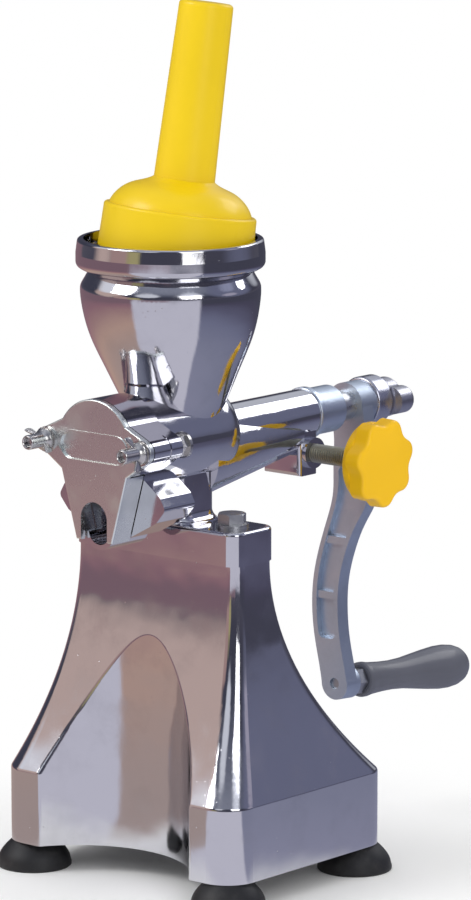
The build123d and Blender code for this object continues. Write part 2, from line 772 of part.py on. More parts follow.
wing_seat = -cover_front_y + wing_washer_thickness       # the wing nuts' seat, in front of the origin
wing_top = wing_seat + wing_hub_length


def cover_bolt():
    """Bolt from behind the lug, made about Z with its thread forward."""
    lug_back = -lug_rear_y
    hexagon = hex_prism(cover_bolt_hex, lug_back - cover_bolt_hex_height, lug_back)
    cap = rod_z(cover_bolt_cap_radius, lug_back - cover_bolt_hex_height - cover_bolt_cap_thickness,
                lug_back - cover_bolt_hex_height)
    return hexagon + cap + rod_z(cover_bolt_radius, lug_back, wing_top - bolt_end_recess)


def wing_washer():
    inner = cover_bolt_radius + cover_bolt_hole_clearance
    return washer(inner, wing_washer_radius, -cover_front_y, wing_washer_thickness)


def wing_nut(turn):
    """Wing nut with a tubular hub, made about Z and turned by an angle."""
    hub = rod_z(wing_base_radius, wing_seat, wing_seat + wing_base_height)
    hub = hub + rod_z(wing_hub_radius, wing_seat, wing_top)
    reach = wing_base_radius / 2
    low = wing_seat + 1.0
    outline = make_face(Polyline((reach, low), (wing_base_radius, low), (wing_span - 1, low + wing_sweep),
                                 (wing_span, low + wing_sweep + wing_chord - 1),
                                 (wing_span - 1, low + wing_sweep + wing_chord),
                                 (wing_span - 3, low + wing_sweep + wing_chord - 0.6),
                                 (reach, low + wing_sweep), close=True))
    wing = extrude(Plane.XZ * outline, amount=wing_thickness / 2, both=True)
    nut = hub + wing + Rot(Z=180) * wing
    nut = nut - rod_z(cover_bolt_radius + wing_bore_clearance, wing_seat - 1, wing_top + 1)
    return Rot(Z=turn) * nut


# ------------------------------------------------------------------ shaft line
def strainer():
    """Perforated tube in the front of the barrel."""
    outer = bore_radius - fit_clearance
    tube = rod_y(outer, strainer_front_y, strainer_rear_y)
    tube = tube - rod_y(outer - strainer_wall, strainer_front_y - 1, strainer_rear_y + 1)
    for row in range(strainer_hole_rows):
        y = juice_slot_rear_y - strainer_hole_pitch * (row + 0.5)
        for column in range(strainer_holes_per_row):
            angle = strainer_hole_arc * (column / (strainer_holes_per_row - 1) - 0.5)
            drill = Pos(0, y, shaft_z) * Rot(Y=angle) * Pos(0, 0, -outer) * Cylinder(strainer_hole_radius, 4)
            tube = tube - drill
    return tube


def auger():
    """Press screw on its shaft, with a square end for the crank."""
    length = auger_rear_y - auger_front_y
    middle_y = auger_front_y + length / 2
    core = on_shaft(Pos(0, 0, middle_y) * Cone(auger_root_radius, auger_core_radius, length))
    turns_length = length - auger_flight_root_width
    start_y = auger_front_y + auger_flight_root_width / 2
    path = Helix(auger_pitch, turns_length, auger_core_radius, center=(0, 0, start_y))
    half_root, half_land = auger_flight_root_width / 2, auger_land / 2
    inner = auger_core_radius - 1.5
    section = make_face(Polyline((inner, -half_root), (auger_radius, -half_land), (auger_radius, half_land),
                                 (inner, half_root), close=True))
    start = Plane(origin=(0, 0, auger_front_y + half_root), x_dir=(1, 0, 0), z_dir=(0, -1, 0))
    flight = sweep(start * section, path=path, is_frenet=True)
    screw = core + on_shaft(flight)
    square_y = arm_front_y
    shaft = rod_y(shaft_radius, auger_rear_y - 1, square_y)
    end_y = arm_back_y - fit_clearance
    square = slab(Pos(0, shaft_z) * Rectangle(shaft_flat_width, shaft_flat_width), square_y - 1, end_y)
    nose = rod_y(auger_nose_radius, auger_front_y - auger_nose_length, auger_front_y + 1)
    hole_y = ring_back_y - thumb_screw_length - thumb_screw_end_gap
    return screw + shaft + square + nose - rod_y(thumb_screw_radius + fit_clearance, hole_y, end_y + 1)


def shaft_bushes():
    """Plain bushes at both ends of the sleeve."""
    bushes = []
    for front_y in (bore_rear_y, sleeve_rear_y - bush_length):
        tube = rod_y(bush_radius - fit_clearance, front_y, front_y + bush_length)
        bushes.append(tube - rod_y(shaft_radius + running_clearance, front_y - 1, front_y + bush_length + 1))
    return bushes


def ring_on_shaft(outer, inner, front_y, length, edge_round=0.0):
    """Ring about the shaft line, with its outer edges rounded."""
    body = rod_y(outer, front_y, front_y + length)
    if edge_round:
        body = fillet(body.edges().filter_by(GeomType.CIRCLE), edge_round)
    return body - rod_y(inner, front_y - 1, front_y + length + 1)


# ------------------------------------------------------------------ crank
def arm_outline(trim, first_share, last_share):
    """Curved arm in X and Z, narrowed by trim on each side."""
    inside = [(share, x, width) for share, x, width in arm_stations if first_share <= share <= last_share]
    left = [(x - width / 2 + trim, shaft_z - share * crank_throw) for share, x, width in inside]
    right = [(x + width / 2 - trim, shaft_z - share * crank_throw) for share, x, width in inside]
    if trim == 0:
        left = [(-arm_head_radius + 0.8, shaft_z - 4)] + left + [(spindle_x - arm_boss_radius, spindle_z)]
        right = [(arm_head_radius, shaft_z)] + right + [(spindle_x + arm_boss_radius, spindle_z)]
    sides = Spline(*left) + Spline(*right)
    return make_face(sides + Line(left[0], right[0]) + Line(left[-1], right[-1]))


def on_spindle(shape):
    """Place a solid made about Z on the grip's spindle line, +Z away from the arm."""
    return Pos(spindle_x, arm_front_y, spindle_z) * Rot(X=-90 - grip_splay) * shape


def crank_arm():
    """Cast arm: round head with a square hole, curved ribbed web and a boss for the grip."""
    body = slab(arm_outline(0, 0, 1), arm_front_y, arm_front_y + arm_thickness)
    body = body + rod_y(arm_head_radius, arm_front_y, arm_back_y)
    boss = on_spindle(rod_z(arm_boss_radius, -2, arm_boss_thickness))
    behind = block(spindle_x - 20, spindle_x + 20, arm_front_y, arm_front_y + 30,
                   spindle_z - 20, spindle_z + 20)
    body = body + (boss & behind)
    recess = slab(arm_outline(arm_rim, arm_recess_start, arm_recess_end), arm_front_y - 1,
                  arm_front_y + arm_recess)
    recess = fillet(recess.edges().filter_by(Axis.Y), arm_rim)
    for share in arm_ribs:
        z = shaft_z - share * crank_throw
        rib_front = arm_front_y + arm_recess - arm_rib_height
        recess = recess - block(-40, 40, rib_front, arm_back_y, z - arm_rib_width / 2, z + arm_rib_width / 2)
    side = shaft_flat_width + 2 * socket_clearance
    body = body - recess - slab(Pos(0, shaft_z) * Rectangle(side, side), arm_front_y - 1, arm_back_y + 1)
    return body - on_spindle(rod_z(spindle_neck_radius + fit_clearance, -3, arm_boss_thickness + 1))


def crank_thumb_bolt():
    """Bolt with a two-winged plastic head that clamps the arm to the shaft."""
    head_sketch = Pos(0, shaft_z) * Circle(thumb_hub_radius)
    for side in (-1, 1):
        head_sketch = head_sketch + Pos(side * thumb_wing_x, shaft_z) * Circle(thumb_wing_radius)
    head_sketch = fillet(head_sketch.vertices(), thumb_round)
    head = slab(head_sketch, ring_back_y, ring_back_y + thumb_thickness)
    head = fillet(head.faces().sort_by(Axis.Y)[-1].edges(), thumb_round)
    return head + rod_y(thumb_screw_radius, ring_back_y - thumb_screw_length, ring_back_y + 1)


def grip_spindle():
    """Spindle with a thinner neck through the arm's boss and the nut."""
    neck_end = arm_boss_thickness + lock_nut_height
    neck = rod_z(spindle_neck_radius, spindle_neck_recess, neck_end + 1)
    end = neck_end + grip_gap + grip_bore_depth - spindle_end_gap
    return on_spindle(neck + rod_z(spindle_radius, neck_end, end))


def grip_lock_nut():
    top = arm_boss_thickness + lock_nut_height
    nut = chamfered_hex(lock_nut_width, arm_boss_thickness, top, True)
    return on_spindle(nut - rod_z(spindle_neck_radius + fit_clearance, 0, top + 1))


def hand_grip():
    """Turned grip: flange, waist, bulge and rounded end."""
    start = arm_boss_thickness + lock_nut_height + grip_gap
    bore = spindle_radius + grip_bore_clearance
    flange_end = (grip_flange_radius, start + grip_flange_length)
    base = Polyline((bore, start), (grip_flange_radius, start), flange_end)
    contour = [(radius, start + share * grip_length) for share, radius in grip_stations]
    end = (grip_end_radius, start + grip_length)
    side = Spline(flange_end, *contour, end)
    inside = Polyline(end, (0, start + grip_length), (0, start + grip_bore_depth),
                      (bore, start + grip_bore_depth),
                      (bore, start))
    return on_spindle(revolve(Plane.XZ * make_face(base + side + inside), Axis.Z))


# ------------------------------------------------------------------ regulator
def on_regulator(shape):
    """Place a solid made about Z on the regulator's line, +Z along +X."""
    return Pos(0, regulator_y, regulator_z) * Rot(Y=90) * shape


def regulator_pad():
    """Swivelling tip that closes the pulp outlet."""
    tip = rod_z(regulator_radius, regulator_tip_x, regulator_tip_x + regulator_tip_length)
    pin_end = regulator_tip_x + regulator_tip_length + regulator_pin_length
    return on_regulator(tip + rod_z(regulator_pin_radius, regulator_tip_x, pin_end))


def regulator_screw():
    """Threaded rod, drawn with its thread ridges as rings outside the block."""
    start = regulator_tip_x + regulator_tip_length
    thread_start = block_right_x + regulator_boss_length + regulator_thread_margin
    end = knob_back_x + knob_socket_depth
    root = regulator_radius - regulator_thread_depth
    profile = [(0, start), (regulator_radius, start), (regulator_radius, thread_start)]
    turns = int((knob_back_x - thread_start) / regulator_pitch)
    for turn in range(turns):
        at = thread_start + turn * regulator_pitch
        profile += [(root, at + 0.4 * regulator_pitch), (root, at + 0.5 * regulator_pitch),
                    (regulator_radius, at + 0.9 * regulator_pitch), (regulator_radius, at + regulator_pitch)]
    profile += [(regulator_radius, end), (0, end)]
    hole = rod_z(regulator_pin_radius + running_clearance, start - 1, start + regulator_pin_length + 0.5)
    return on_regulator(turned(profile) - hole)


def regulator_knob():
    """Star knob with rounded lobes and a round flange at its back."""
    star = Circle(knob_valley_radius)
    for lobe in range(knob_lobes):
        turn = 90 + knob_first_lobe + lobe * 360 / knob_lobes
        star = star + Rot(Z=turn) * Pos(knob_radius - knob_lobe_radius, 0) * Circle(knob_lobe_radius)
    star = fillet(star.vertices(), knob_valley_round)
    star_z = knob_back_x + knob_disc_thickness - 0.5
    body = extrude(Pos(0, 0, star_z) * star, amount=knob_back_x + knob_thickness - star_z)
    body = fillet(body.faces().sort_by(Axis.Z)[-1].edges(), knob_round)
    disc = rod_z(knob_disc_radius, knob_back_x, knob_back_x + knob_disc_thickness)
    body = body + fillet(disc.edges().filter_by(GeomType.CIRCLE), knob_disc_round)
    socket = rod_z(regulator_radius + fit_clearance, knob_back_x - 1, knob_back_x + knob_socket_depth)
    return on_regulator(body - socket)


# ------------------------------------------------------------------ pusher
def leaning(shape):
    """Place a solid made about Z on the pusher's leaning axis."""
    lean = Rot(Z=pusher_heading) * Rot(Y=pusher_lean) * Rot(Z=-pusher_heading)
    return Pos(0, hopper_y, pusher_pivot_z) * lean * Pos(0, 0, pusher_rise) * shape


pusher_web_top = pusher_skirt_height - pusher_web_drop


def pusher_cup():
    """Skirt of the pusher with the web that carries the dome and the stem below."""
    web_bottom = pusher_web_top - pusher_wall
    inner = pusher_dome_radius + fit_clearance
    skirt = turned([(inner, pusher_skirt_start), (pusher_skirt_radius, pusher_skirt_start),
                    (pusher_skirt_top_radius, pusher_skirt_height),
                    (inner, pusher_skirt_height)])
    top_edge = skirt.edges().filter_by(GeomType.CIRCLE).sort_by(SortBy.RADIUS)
    rim = [e for e in top_edge if e.center().Z > 1 and e.radius > inner + 0.1]
    skirt = fillet(rim, pusher_round)
    web = rod_z(inner + 0.1, web_bottom, pusher_web_top)
    stem = rod_z(pusher_stem_radius, -pusher_stem_length, web_bottom + 0.1)
    stem = fillet(stem.faces().sort_by(Axis.Z)[0].edges(), pusher_round)
    hollow = rod_z(pusher_stem_radius - pusher_wall, -pusher_stem_length + pusher_wall, pusher_web_top + 1)
    return leaning(skirt + web + stem - hollow)


def pusher_handle():
    """Hollow dome and tapered handle."""
    top = (pusher_handle_top_radius, pusher_length)
    shoulder = (pusher_dome_radius, pusher_skirt_height)
    base = (pusher_handle_radius, pusher_handle_base)
    outside = Polyline((pusher_dome_radius, pusher_web_top), shoulder)
    outside = outside + Spline(shoulder, *pusher_dome_points, base)
    outside = outside + Polyline(base, top, (0, pusher_length), (0, pusher_web_top),
                                 (pusher_dome_radius, pusher_web_top))
    body = revolve(Plane.XZ * make_face(outside), Axis.Z)
    rim = [e for e in body.edges().filter_by(GeomType.CIRCLE) if e.center().Z > pusher_length - 0.01]
    body = fillet(rim, pusher_top_round)
    inner_dome = [(radius - pusher_wall, z - pusher_wall) for radius, z in pusher_dome_points]
    start = (pusher_dome_radius - pusher_wall, pusher_web_top - 1)
    throat = (pusher_handle_radius - pusher_wall, pusher_handle_base)
    hollow = Spline((start[0], pusher_skirt_height - pusher_wall), *inner_dome, throat)
    inner_top = pusher_length - pusher_wall - 1
    hollow = hollow + Polyline(throat, (pusher_handle_top_radius - pusher_wall, inner_top),
                               (0, pusher_length - pusher_wall - 1), (0, start[1]), start,
                               (start[0], pusher_skirt_height - pusher_wall))
    return leaning(body - revolve(Plane.XZ * make_face(hollow), Axis.Z))


# ------------------------------------------------------------------ everything, written out
half_x = base_width / 2 - foot_inset
half_y = base_depth / 2 - foot_inset
foot_places = corners(half_x, half_y)
lower_nuts = [Pos(x, stand_top_y, 0) * flange_nut() for x in (-bolt_x, bolt_x)]
washers = [Pos(x, stand_top_y, 0) * piece for x in (-bolt_x, bolt_x) for piece in flange_washer_pair()]

parts = {
    "stand_tower": stand_tower(),
    "foot_screws": Compound([Pos(x, y, 0) * foot_screw() for _, x, y in foot_places]),
    "head_casting": head_casting(),
    "hopper": hopper(),
    "flange_bolts": Compound([Pos(x, stand_top_y, 0) * flange_bolt() for x in (-bolt_x, bolt_x)]),
    "flange_washers": Compound(washers),
    "flange_nuts": Compound(lower_nuts),
    "front_cover": front_cover(),
    "cover_gasket": cover_gasket(),
    "cover_bolts": Compound([forward(cover_bolt(), x) for x in (-ear_x, ear_x)]),
    "cover_washer_left": forward(wing_washer(), -ear_x),
    "cover_washer_right": forward(wing_washer(), ear_x),
    "wing_nut_left": forward(wing_nut(wing_turn_left), -ear_x),
    "wing_nut_right": forward(wing_nut(wing_turn_right), ear_x),
    "strainer": strainer(),
    "auger": auger(),
    "shaft_bushes": Compound(shaft_bushes()),
    "sleeve_end_ring": ring_on_shaft(end_ring_radius, shaft_radius + thrust_clearance, sleeve_rear_y,
                                     end_ring_thickness, 0.8),
    "thrust_collar": ring_on_shaft(thrust_collar_radius, shaft_radius + fit_clearance, collar_front_y,
                                   thrust_collar_length, 1.0),
    "hub_spacer": ring_on_shaft(hub_spacer_radius, shaft_radius + fit_clearance, collar_back_y,
                                arm_front_y - collar_back_y),
    "crank_arm": crank_arm(),
    "crank_ring": ring_on_shaft(ring_radius, thumb_screw_radius + fit_clearance, arm_back_y,
                                ring_thickness, ring_round),
    "crank_thumb_bolt": crank_thumb_bolt(),
    "grip_spindle": grip_spindle(),
    "grip_lock_nut": grip_lock_nut(),
    "hand_grip": hand_grip(),
    "regulator_pad": regulator_pad(),
    "regulator_screw": regulator_screw(),
    "regulator_knob": regulator_knob(),
    "pusher_cup": pusher_cup(),
    "pusher_handle": pusher_handle(),
}
for label, x, y in foot_places:
    parts[f"foot_{label}"] = Pos(x, y, 0) * foot()

os.makedirs("parts", exist_ok=True)
for name, shape in parts.items():
    export_step(shape, f"parts/{name}.step")
    print(name, len(shape.solids()), round(shape.volume), shape.bounding_box())
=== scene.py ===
"""Finishes, small pieces and studio for a hand cranked juicer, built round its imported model."""

import json
import math

import bmesh
import bpy
from bpy.props import FloatProperty, FloatVectorProperty, IntProperty, PointerProperty
from mathutils import Matrix, Vector


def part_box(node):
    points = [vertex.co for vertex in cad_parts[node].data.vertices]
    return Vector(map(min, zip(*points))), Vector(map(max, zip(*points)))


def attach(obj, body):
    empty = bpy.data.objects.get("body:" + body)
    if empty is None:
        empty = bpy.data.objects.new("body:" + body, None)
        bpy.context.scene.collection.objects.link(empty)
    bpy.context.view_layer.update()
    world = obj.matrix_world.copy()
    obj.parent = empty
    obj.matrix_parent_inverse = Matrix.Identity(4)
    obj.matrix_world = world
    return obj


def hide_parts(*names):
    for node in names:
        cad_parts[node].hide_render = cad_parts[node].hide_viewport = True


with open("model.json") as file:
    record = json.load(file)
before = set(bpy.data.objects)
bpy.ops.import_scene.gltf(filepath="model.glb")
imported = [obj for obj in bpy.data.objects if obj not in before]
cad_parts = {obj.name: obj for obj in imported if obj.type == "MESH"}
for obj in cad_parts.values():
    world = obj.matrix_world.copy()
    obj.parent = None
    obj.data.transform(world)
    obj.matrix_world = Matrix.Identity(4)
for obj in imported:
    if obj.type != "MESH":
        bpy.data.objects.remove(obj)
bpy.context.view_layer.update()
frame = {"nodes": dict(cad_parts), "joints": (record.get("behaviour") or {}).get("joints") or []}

bl_info = {
    "name": "Hand juicer dressing",
    "version": (1, 0, 0),
    "blender": (4, 5, 0),
    "location": "3D View > Sidebar > Juicer",
    "description": "Dresses a hand cranked juicer with its finishes, small pieces and studio",
    "category": "Object",
}

WHITE = (1.0, 1.0, 1.0, 1.0)


# ------------------------------------------------------------------ shader expressions
class Signal:
    """A shader socket carrying a number, for use in Python expressions."""

    def __init__(self, builder, socket):
        self.builder = builder
        self.socket = socket

    def combine(self, operation, first, second):
        return self.builder.node("ShaderNodeMath", {"operation": operation}, {0: first, 1: second})

    def __add__(self, other):
        return self.combine("ADD", self, other)

    def __radd__(self, other):
        return self.combine("ADD", other, self)

    def __sub__(self, other):
        return self.combine("SUBTRACT", self, other)

    def __rsub__(self, other):
        return self.combine("SUBTRACT", other, self)

    def __mul__(self, other):
        return self.combine("MULTIPLY", self, other)

    def __rmul__(self, other):
        return self.combine("MULTIPLY", other, self)

    def __truediv__(self, other):
        return self.combine("DIVIDE", self, other)

    def __pow__(self, other):
        return self.combine("POWER", self, other)

    def most(self, other):
        return self.combine("MAXIMUM", self, other)

    def sine(self):
        return self.builder.node("ShaderNodeMath", {"operation": "SINE"}, {0: self})

    def step(self, low, high):
        """Smooth mask that is 0 at low and 1 at high."""
        settings = {"interpolation_type": "SMOOTHSTEP", "clamp": True}
        limits = {"Value": self, "From Min": low, "From Max": high}
        return self.builder.node("ShaderNodeMapRange", settings, limits)


class ShaderTree:
    """A node tree being built."""

    def __init__(self, tree):
        self.tree = tree

    def node(self, kind, settings=None, inputs=None, output=0):
        """Add a node, set it up, feed its sockets and return one of its outputs, or none."""
        made = self.tree.nodes.new(kind)
        for name, value in (settings or {}).items():
            if name == "stops":
                self.set_stops(made.color_ramp, value)
            else:
                setattr(made, name, value)
        for name, value in (inputs or {}).items():
            self.feed(made.inputs[name], value)
        return None if output is None else Signal(self, made.outputs[output])

    def set_stops(self, ramp, stops):
        """Lay (position, colour) stops along a colour ramp."""
        while len(ramp.elements) < len(stops):
            ramp.elements.new(0.5)
        for element, (position, colour) in zip(ramp.elements, stops):
            element.position = position
            element.color = rgba(colour)

    def feed(self, socket, value):
        """Link a signal to a socket, or set the socket to a constant."""
        if isinstance(value, Signal):
            self.tree.links.new(value.socket, socket)
        else:
            socket.default_value = value

    def place(self, turn=(0.0, 0.0, 0.0), stretch=(1.0, 1.0, 1.0)):
        """Object coordinates, turned and stretched."""
        coordinates = self.node("ShaderNodeTexCoord", output="Object")
        inputs = {"Vector": coordinates, "Rotation": turn, "Scale": stretch}
        return self.node("ShaderNodeMapping", {}, inputs)

    def parts(self, vector):
        """The three numbers of a vector."""
        first = self.node("ShaderNodeSeparateXYZ", {}, {"Vector": vector})
        outputs = first.socket.node.outputs
        return [Signal(self, outputs[axis]) for axis in range(3)]

    def noise(self, scale, detail, roughness=0.5, vector=None, seed=0.0):
        """Soft noise from 0 to 1; its fourth dimension is the seed."""
        inputs = {"Vector": vector or self.place(), "W": seed, "Scale": scale, "Detail": detail,
                  "Roughness": roughness}
        return self.node("ShaderNodeTexNoise", {"noise_dimensions": "4D"}, inputs)

    def cells(self, scale):
        """Distance to the nearest cell point."""
        return self.node("ShaderNodeTexVoronoi", {}, {"Vector": self.place(), "Scale": scale})

    def blend(self, share, first, second):
        """Colour between two colours."""
        return self.node("ShaderNodeMix", {"data_type": "RGBA"}, {0: share, 6: first, 7: second}, output=2)

    def ramp(self, share, stops):
        """Colour along a row of (position, colour) stops."""
        return self.node("ShaderNodeValToRGB", {"stops": stops}, {"Fac": share})

    def bump(self, height, depth, after=None):
        """Normal from a height between 0 and 1 that stands for depth metres."""
        inputs = {"Height": height, "Distance": depth, "Strength": 1.0}
        if after:
            inputs["Normal"] = after
        return self.node("ShaderNodeBump", {}, inputs)

    def plain_rays(self):
        """Masks of rays that look straight or through something clear, and of rays that a shine sends out."""
        camera = self.node("ShaderNodeLightPath", output="Is Camera Ray")
        rays = camera.socket.node.outputs
        return camera.most(Signal(self, rays["Is Transmission Ray"])), Signal(self, rays["Is Glossy Ray"])

    def glow(self, kind, colour, strength=1.0):
        """Light of one colour, as a background or an emission."""
        return self.node(kind, {}, {"Color": colour, "Strength": strength})

    def mix(self, share, first, second):
        """Shader between two shaders."""
        return self.node("ShaderNodeMixShader", {}, {0: share, 1: first, 2: second})


class Finish(ShaderTree):
    """A new material with its shader."""

    def __init__(self, name):
        self.material = bpy.data.materials.new(name)
        self.material.use_nodes = True
        super().__init__(self.material.node_tree)
        self.shader = self.tree.nodes["Principled BSDF"]

    def surface(self, feeds):
        """Feed the shader's sockets by their names and return the material."""
        for name, value in feeds.items():
            self.feed(self.shader.inputs[name], value)
        return self.material


def rgba(colour):
    return (*colour[:3], 1.0)


def shade(colour, factor):
    return (colour[0] * factor, colour[1] * factor, colour[2] * factor, 1.0)


# ------------------------------------------------------------------ finishes
def polished_casting(name, colour, roughness, wave, smudge):
    """Buffed cast aluminium: soft waves, wave metres deep, with buffing lines, smudges and a few pits."""
    finish = Finish(name)
    waves = finish.noise(scale=26.0, detail=2.0, roughness=0.45)
    buffing = finish.place(turn=(0.3, 0.5, 0.2), stretch=(9.0, 1.0, 1.0))
    lines = finish.noise(scale=140.0, detail=4.0, roughness=0.6, vector=buffing, seed=3.0)
    film = finish.noise(scale=38.0, detail=6.0, roughness=0.62, seed=5.0).step(0.46, 0.72)
    pits = 1.0 - finish.cells(scale=330.0).step(0.05, 0.14)
    rare = finish.noise(scale=60.0, detail=1.0, seed=8.0).step(0.6, 0.7)
    pitted = pits * rare
    buffed = finish.bump(lines, depth=0.000012)
    rolling = finish.bump(waves, wave, after=buffed)
    return finish.surface({
        "Base Color": finish.blend(film * 0.5, rgba(colour), shade(colour, 0.86)),
        "Metallic": 1.0,
        "Roughness": roughness + film * smudge + lines.step(0.55, 0.8) * 0.06 + pitted * 0.25,
        "Normal": finish.bump(1.0 - pitted, depth=0.00008, after=rolling),
    })


def satin_casting(name, colour, roughness):
    """Unpolished aluminium casting: fine sand grain, darker in patches."""
    finish = Finish(name)
    grain = finish.noise(scale=1500.0, detail=3.0, roughness=0.6)
    patches = finish.noise(scale=55.0, detail=5.0, roughness=0.6, seed=2.0)
    worn = patches.step(0.48, 0.75)
    rolling = finish.bump(patches, depth=0.0003)
    return finish.surface({
        "Base Color": finish.blend(patches, shade(colour, 0.72), shade(colour, 1.12)),
        "Metallic": 1.0,
        "Roughness": roughness - worn * 0.12 + grain * 0.1,
        "Normal": finish.bump(grain, depth=0.00006, after=rolling),
    })


def turned_metal(name, colour, roughness, axis, pitch=0.00045):
    """Lathe-turned metal: fine rings across an axis (0, 1 or 2) of the object."""
    finish = Finish(name)
    along = finish.parts(finish.place())[axis]
    rings = (along * (2 * math.pi / pitch)).sine()
    uneven = finish.noise(scale=700.0, detail=3.0, roughness=0.6)
    stain = finish.noise(scale=120.0, detail=4.0, roughness=0.6, seed=4.0)
    return finish.surface({
        "Base Color": finish.blend(stain, shade(colour, 0.8), shade(colour, 1.06)),
        "Metallic": 1.0,
        "Roughness": roughness + stain * 0.12 + uneven * 0.05,
        "Normal": finish.bump(rings * 0.35 + uneven, depth=0.00001),
    })


def plated_metal(name, colour, roughness, dull):
    """Plated or stamped small metal: mottled sheen and handling marks."""
    finish = Finish(name)
    mottle = finish.noise(scale=420.0, detail=4.0, roughness=0.65)
    marks = finish.noise(scale=90.0, detail=3.0, roughness=0.5, seed=6.0).step(0.5, 0.68)
    return finish.surface({
        "Base Color": finish.blend(mottle, shade(colour, 0.82), shade(colour, 1.08)),
        "Metallic": 1.0,
        "Roughness": roughness + mottle * 0.08 + marks * dull,
        "Normal": finish.bump(mottle, depth=0.00003),
    })


def moulded_plastic(name, colour, roughness, grain_depth, coat, deep):
    """Injection moulded plastic: slight unevenness of colour, flow marks and fine scuffs."""
    finish = Finish(name)
    flow = finish.noise(scale=18.0, detail=3.0, roughness=0.5)
    grain = finish.noise(scale=1900.0, detail=2.0, roughness=0.5)
    rubbing = finish.place(turn=(0.4, 0.1, 0.7), stretch=(6.0, 1.0, 1.0))
    scuffs = finish.noise(scale=210.0, detail=5.0, roughness=0.7, vector=rubbing, seed=7.0).step(0.6, 0.72)
    soft = finish.bump(flow, depth=0.0002)
    return finish.surface({
        "Base Color": finish.blend(flow.step(0.3, 0.75), shade(colour, deep), rgba(colour)),
        "Roughness": roughness + scuffs * 0.14 + flow * 0.06,
        "Specular IOR Level": 0.35,
        "Coat Weight": coat,
        "Coat Roughness": 0.12,
        "Normal": finish.bump(grain, grain_depth, after=soft),
    })


def soft_rubber(name, colour, dust):
    """Black rubber with a bloom of dust."""
    finish = Finish(name)
    bloom = finish.noise(scale=75.0, detail=5.0, roughness=0.65)
    grain = finish.noise(scale=1300.0, detail=2.0, roughness=0.6, seed=1.0)
    return finish.surface({
        "Base Color": finish.blend(bloom.step(0.45, 0.85) * dust, rgba(colour), (0.22, 0.21, 0.2, 1.0)),
        "Roughness": 0.42 + bloom * 0.25,
        "Normal": finish.bump(grain, depth=0.00005),
    })


def dress(node, material):
    """Give a node of the frame its finish."""
    slots = frame["nodes"][node].data.materials
    if slots:
        for index in range(len(slots)):
            slots[index] = material
    else:
        slots.append(material)


# ------------------------------------------------------------------ modelling helpers
def start_fresh():
    """Be in object mode with nothing selected."""
    if bpy.context.object and bpy.context.object.mode != "OBJECT":
        bpy.ops.object.mode_set(mode="OBJECT")
    bpy.ops.object.select_all(action="DESELECT")


def edit_faces(piece):
    """Edit a piece with all its faces selected."""
    bpy.context.view_layer.objects.active = piece
    bpy.ops.object.mode_set(mode="EDIT")
    bpy.ops.mesh.select_mode(type="FACE")
    bpy.ops.mesh.select_all(action="SELECT")


def pick_vertices(piece, wanted):
    """Select, in edit mode, just the vertices for which wanted(place) is true."""
    bpy.ops.mesh.select_mode(type="VERT")
    mesh = bmesh.from_edit_mesh(piece.data)
    for vertex in mesh.verts:
        vertex.select = wanted(piece.matrix_world @ vertex.co)
    mesh.select_flush_mode()
    bmesh.update_edit_mesh(piece.data)


def pick_faces(piece, wanted):
    """Select, in edit mode, just the faces for which wanted(centre, normal) is true."""
    bpy.ops.mesh.select_mode(type="FACE")
    mesh = bmesh.from_edit_mesh(piece.data)
    turn = piece.matrix_world.to_3x3()
    for face in mesh.faces:
        face.select = wanted(piece.matrix_world @ face.calc_center_median(), turn @ face.normal)
    mesh.select_flush_mode()
    bmesh.update_edit_mesh(piece.data)


def across(axis):
    """Turn that lays a primitive's Z along an axis."""
    return Vector(axis).to_track_quat("Z", "Y").to_euler()


def turned_piece(name, centre, axis, stations, sides):
    """Turned solid: a disc drawn along an axis and resized at each (distance, radius) station."""
    start_fresh()
    centre = Vector(centre)
    axis = Vector(axis).normalized()
    at, radius = stations[0]
    bpy.ops.mesh.primitive_circle_add(vertices=sides, radius=radius, fill_type="NGON",
                                      location=centre + axis * at, rotation=across(axis))
    piece = bpy.context.object
    piece.name = name
    edit_faces(piece)
    for distance, wide in stations[1:]:
        bpy.ops.mesh.extrude_region_move(TRANSFORM_OT_translate={"value": axis * (distance - at)})
        grow = wide / radius
        bpy.ops.transform.resize(value=(grow, grow, grow), center_override=centre + axis * distance)
        at, radius = distance, wide
    bpy.ops.object.mode_set(mode="OBJECT")
    return piece


def apply_modifier(piece, kind, **settings):
    """Add a modifier, set it and apply it."""
    start_fresh()
    piece.select_set(True)
    bpy.context.view_layer.objects.active = piece
    modifier = piece.modifiers.new(kind.lower(), kind)
    for name, value in settings.items():
        setattr(modifier, name, value)
    bpy.ops.object.modifier_apply(modifier=modifier.name)


def joined(name, pieces):
    """Join pieces into the first and name it."""
    start_fresh()
    for piece in pieces:
        piece.select_set(True)
    bpy.context.view_layer.objects.active = pieces[0]
    bpy.ops.object.join()
    pieces[0].name = name
    return pieces[0]


def copied(piece, name, move):
    """Copy of a piece with its own mesh, moved."""
    start_fresh()
    piece.select_set(True)
    bpy.context.view_layer.objects.active = piece
    bpy.ops.object.duplicate(linked=False)
    copy = bpy.context.object
    copy.name = name
    bpy.ops.transform.translate(value=move)
    return copy


def finished(piece, material, body, nodes, crease=30.0):
    """Settle a piece: faces outwards, place in its mesh, smooth shading, finish, body and node."""
    start_fresh()
    piece.select_set(True)
    edit_faces(piece)
    bpy.ops.mesh.remove_doubles(threshold=0.000002)
    bpy.ops.mesh.normals_make_consistent(inside=False)
    bpy.ops.object.mode_set(mode="OBJECT")
    bpy.ops.object.transform_apply(location=True, rotation=True, scale=True)
    bpy.ops.object.shade_smooth_by_angle(angle=math.radians(crease))
    piece.data.materials.clear()
    piece.data.materials.append(material)
    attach(piece, body)
    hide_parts(*nodes)


def middle(node):
    """Centre of a node's box."""
    low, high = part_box(node)
    return (low + high) / 2


def joint_line(name):
    """A joint's point and axis."""
    found = next(joint for joint in frame["joints"] if joint["name"] == name)
    return Vector(found.get("pos_m", (0, 0, 0))), Vector(found["axis"]).normalized()


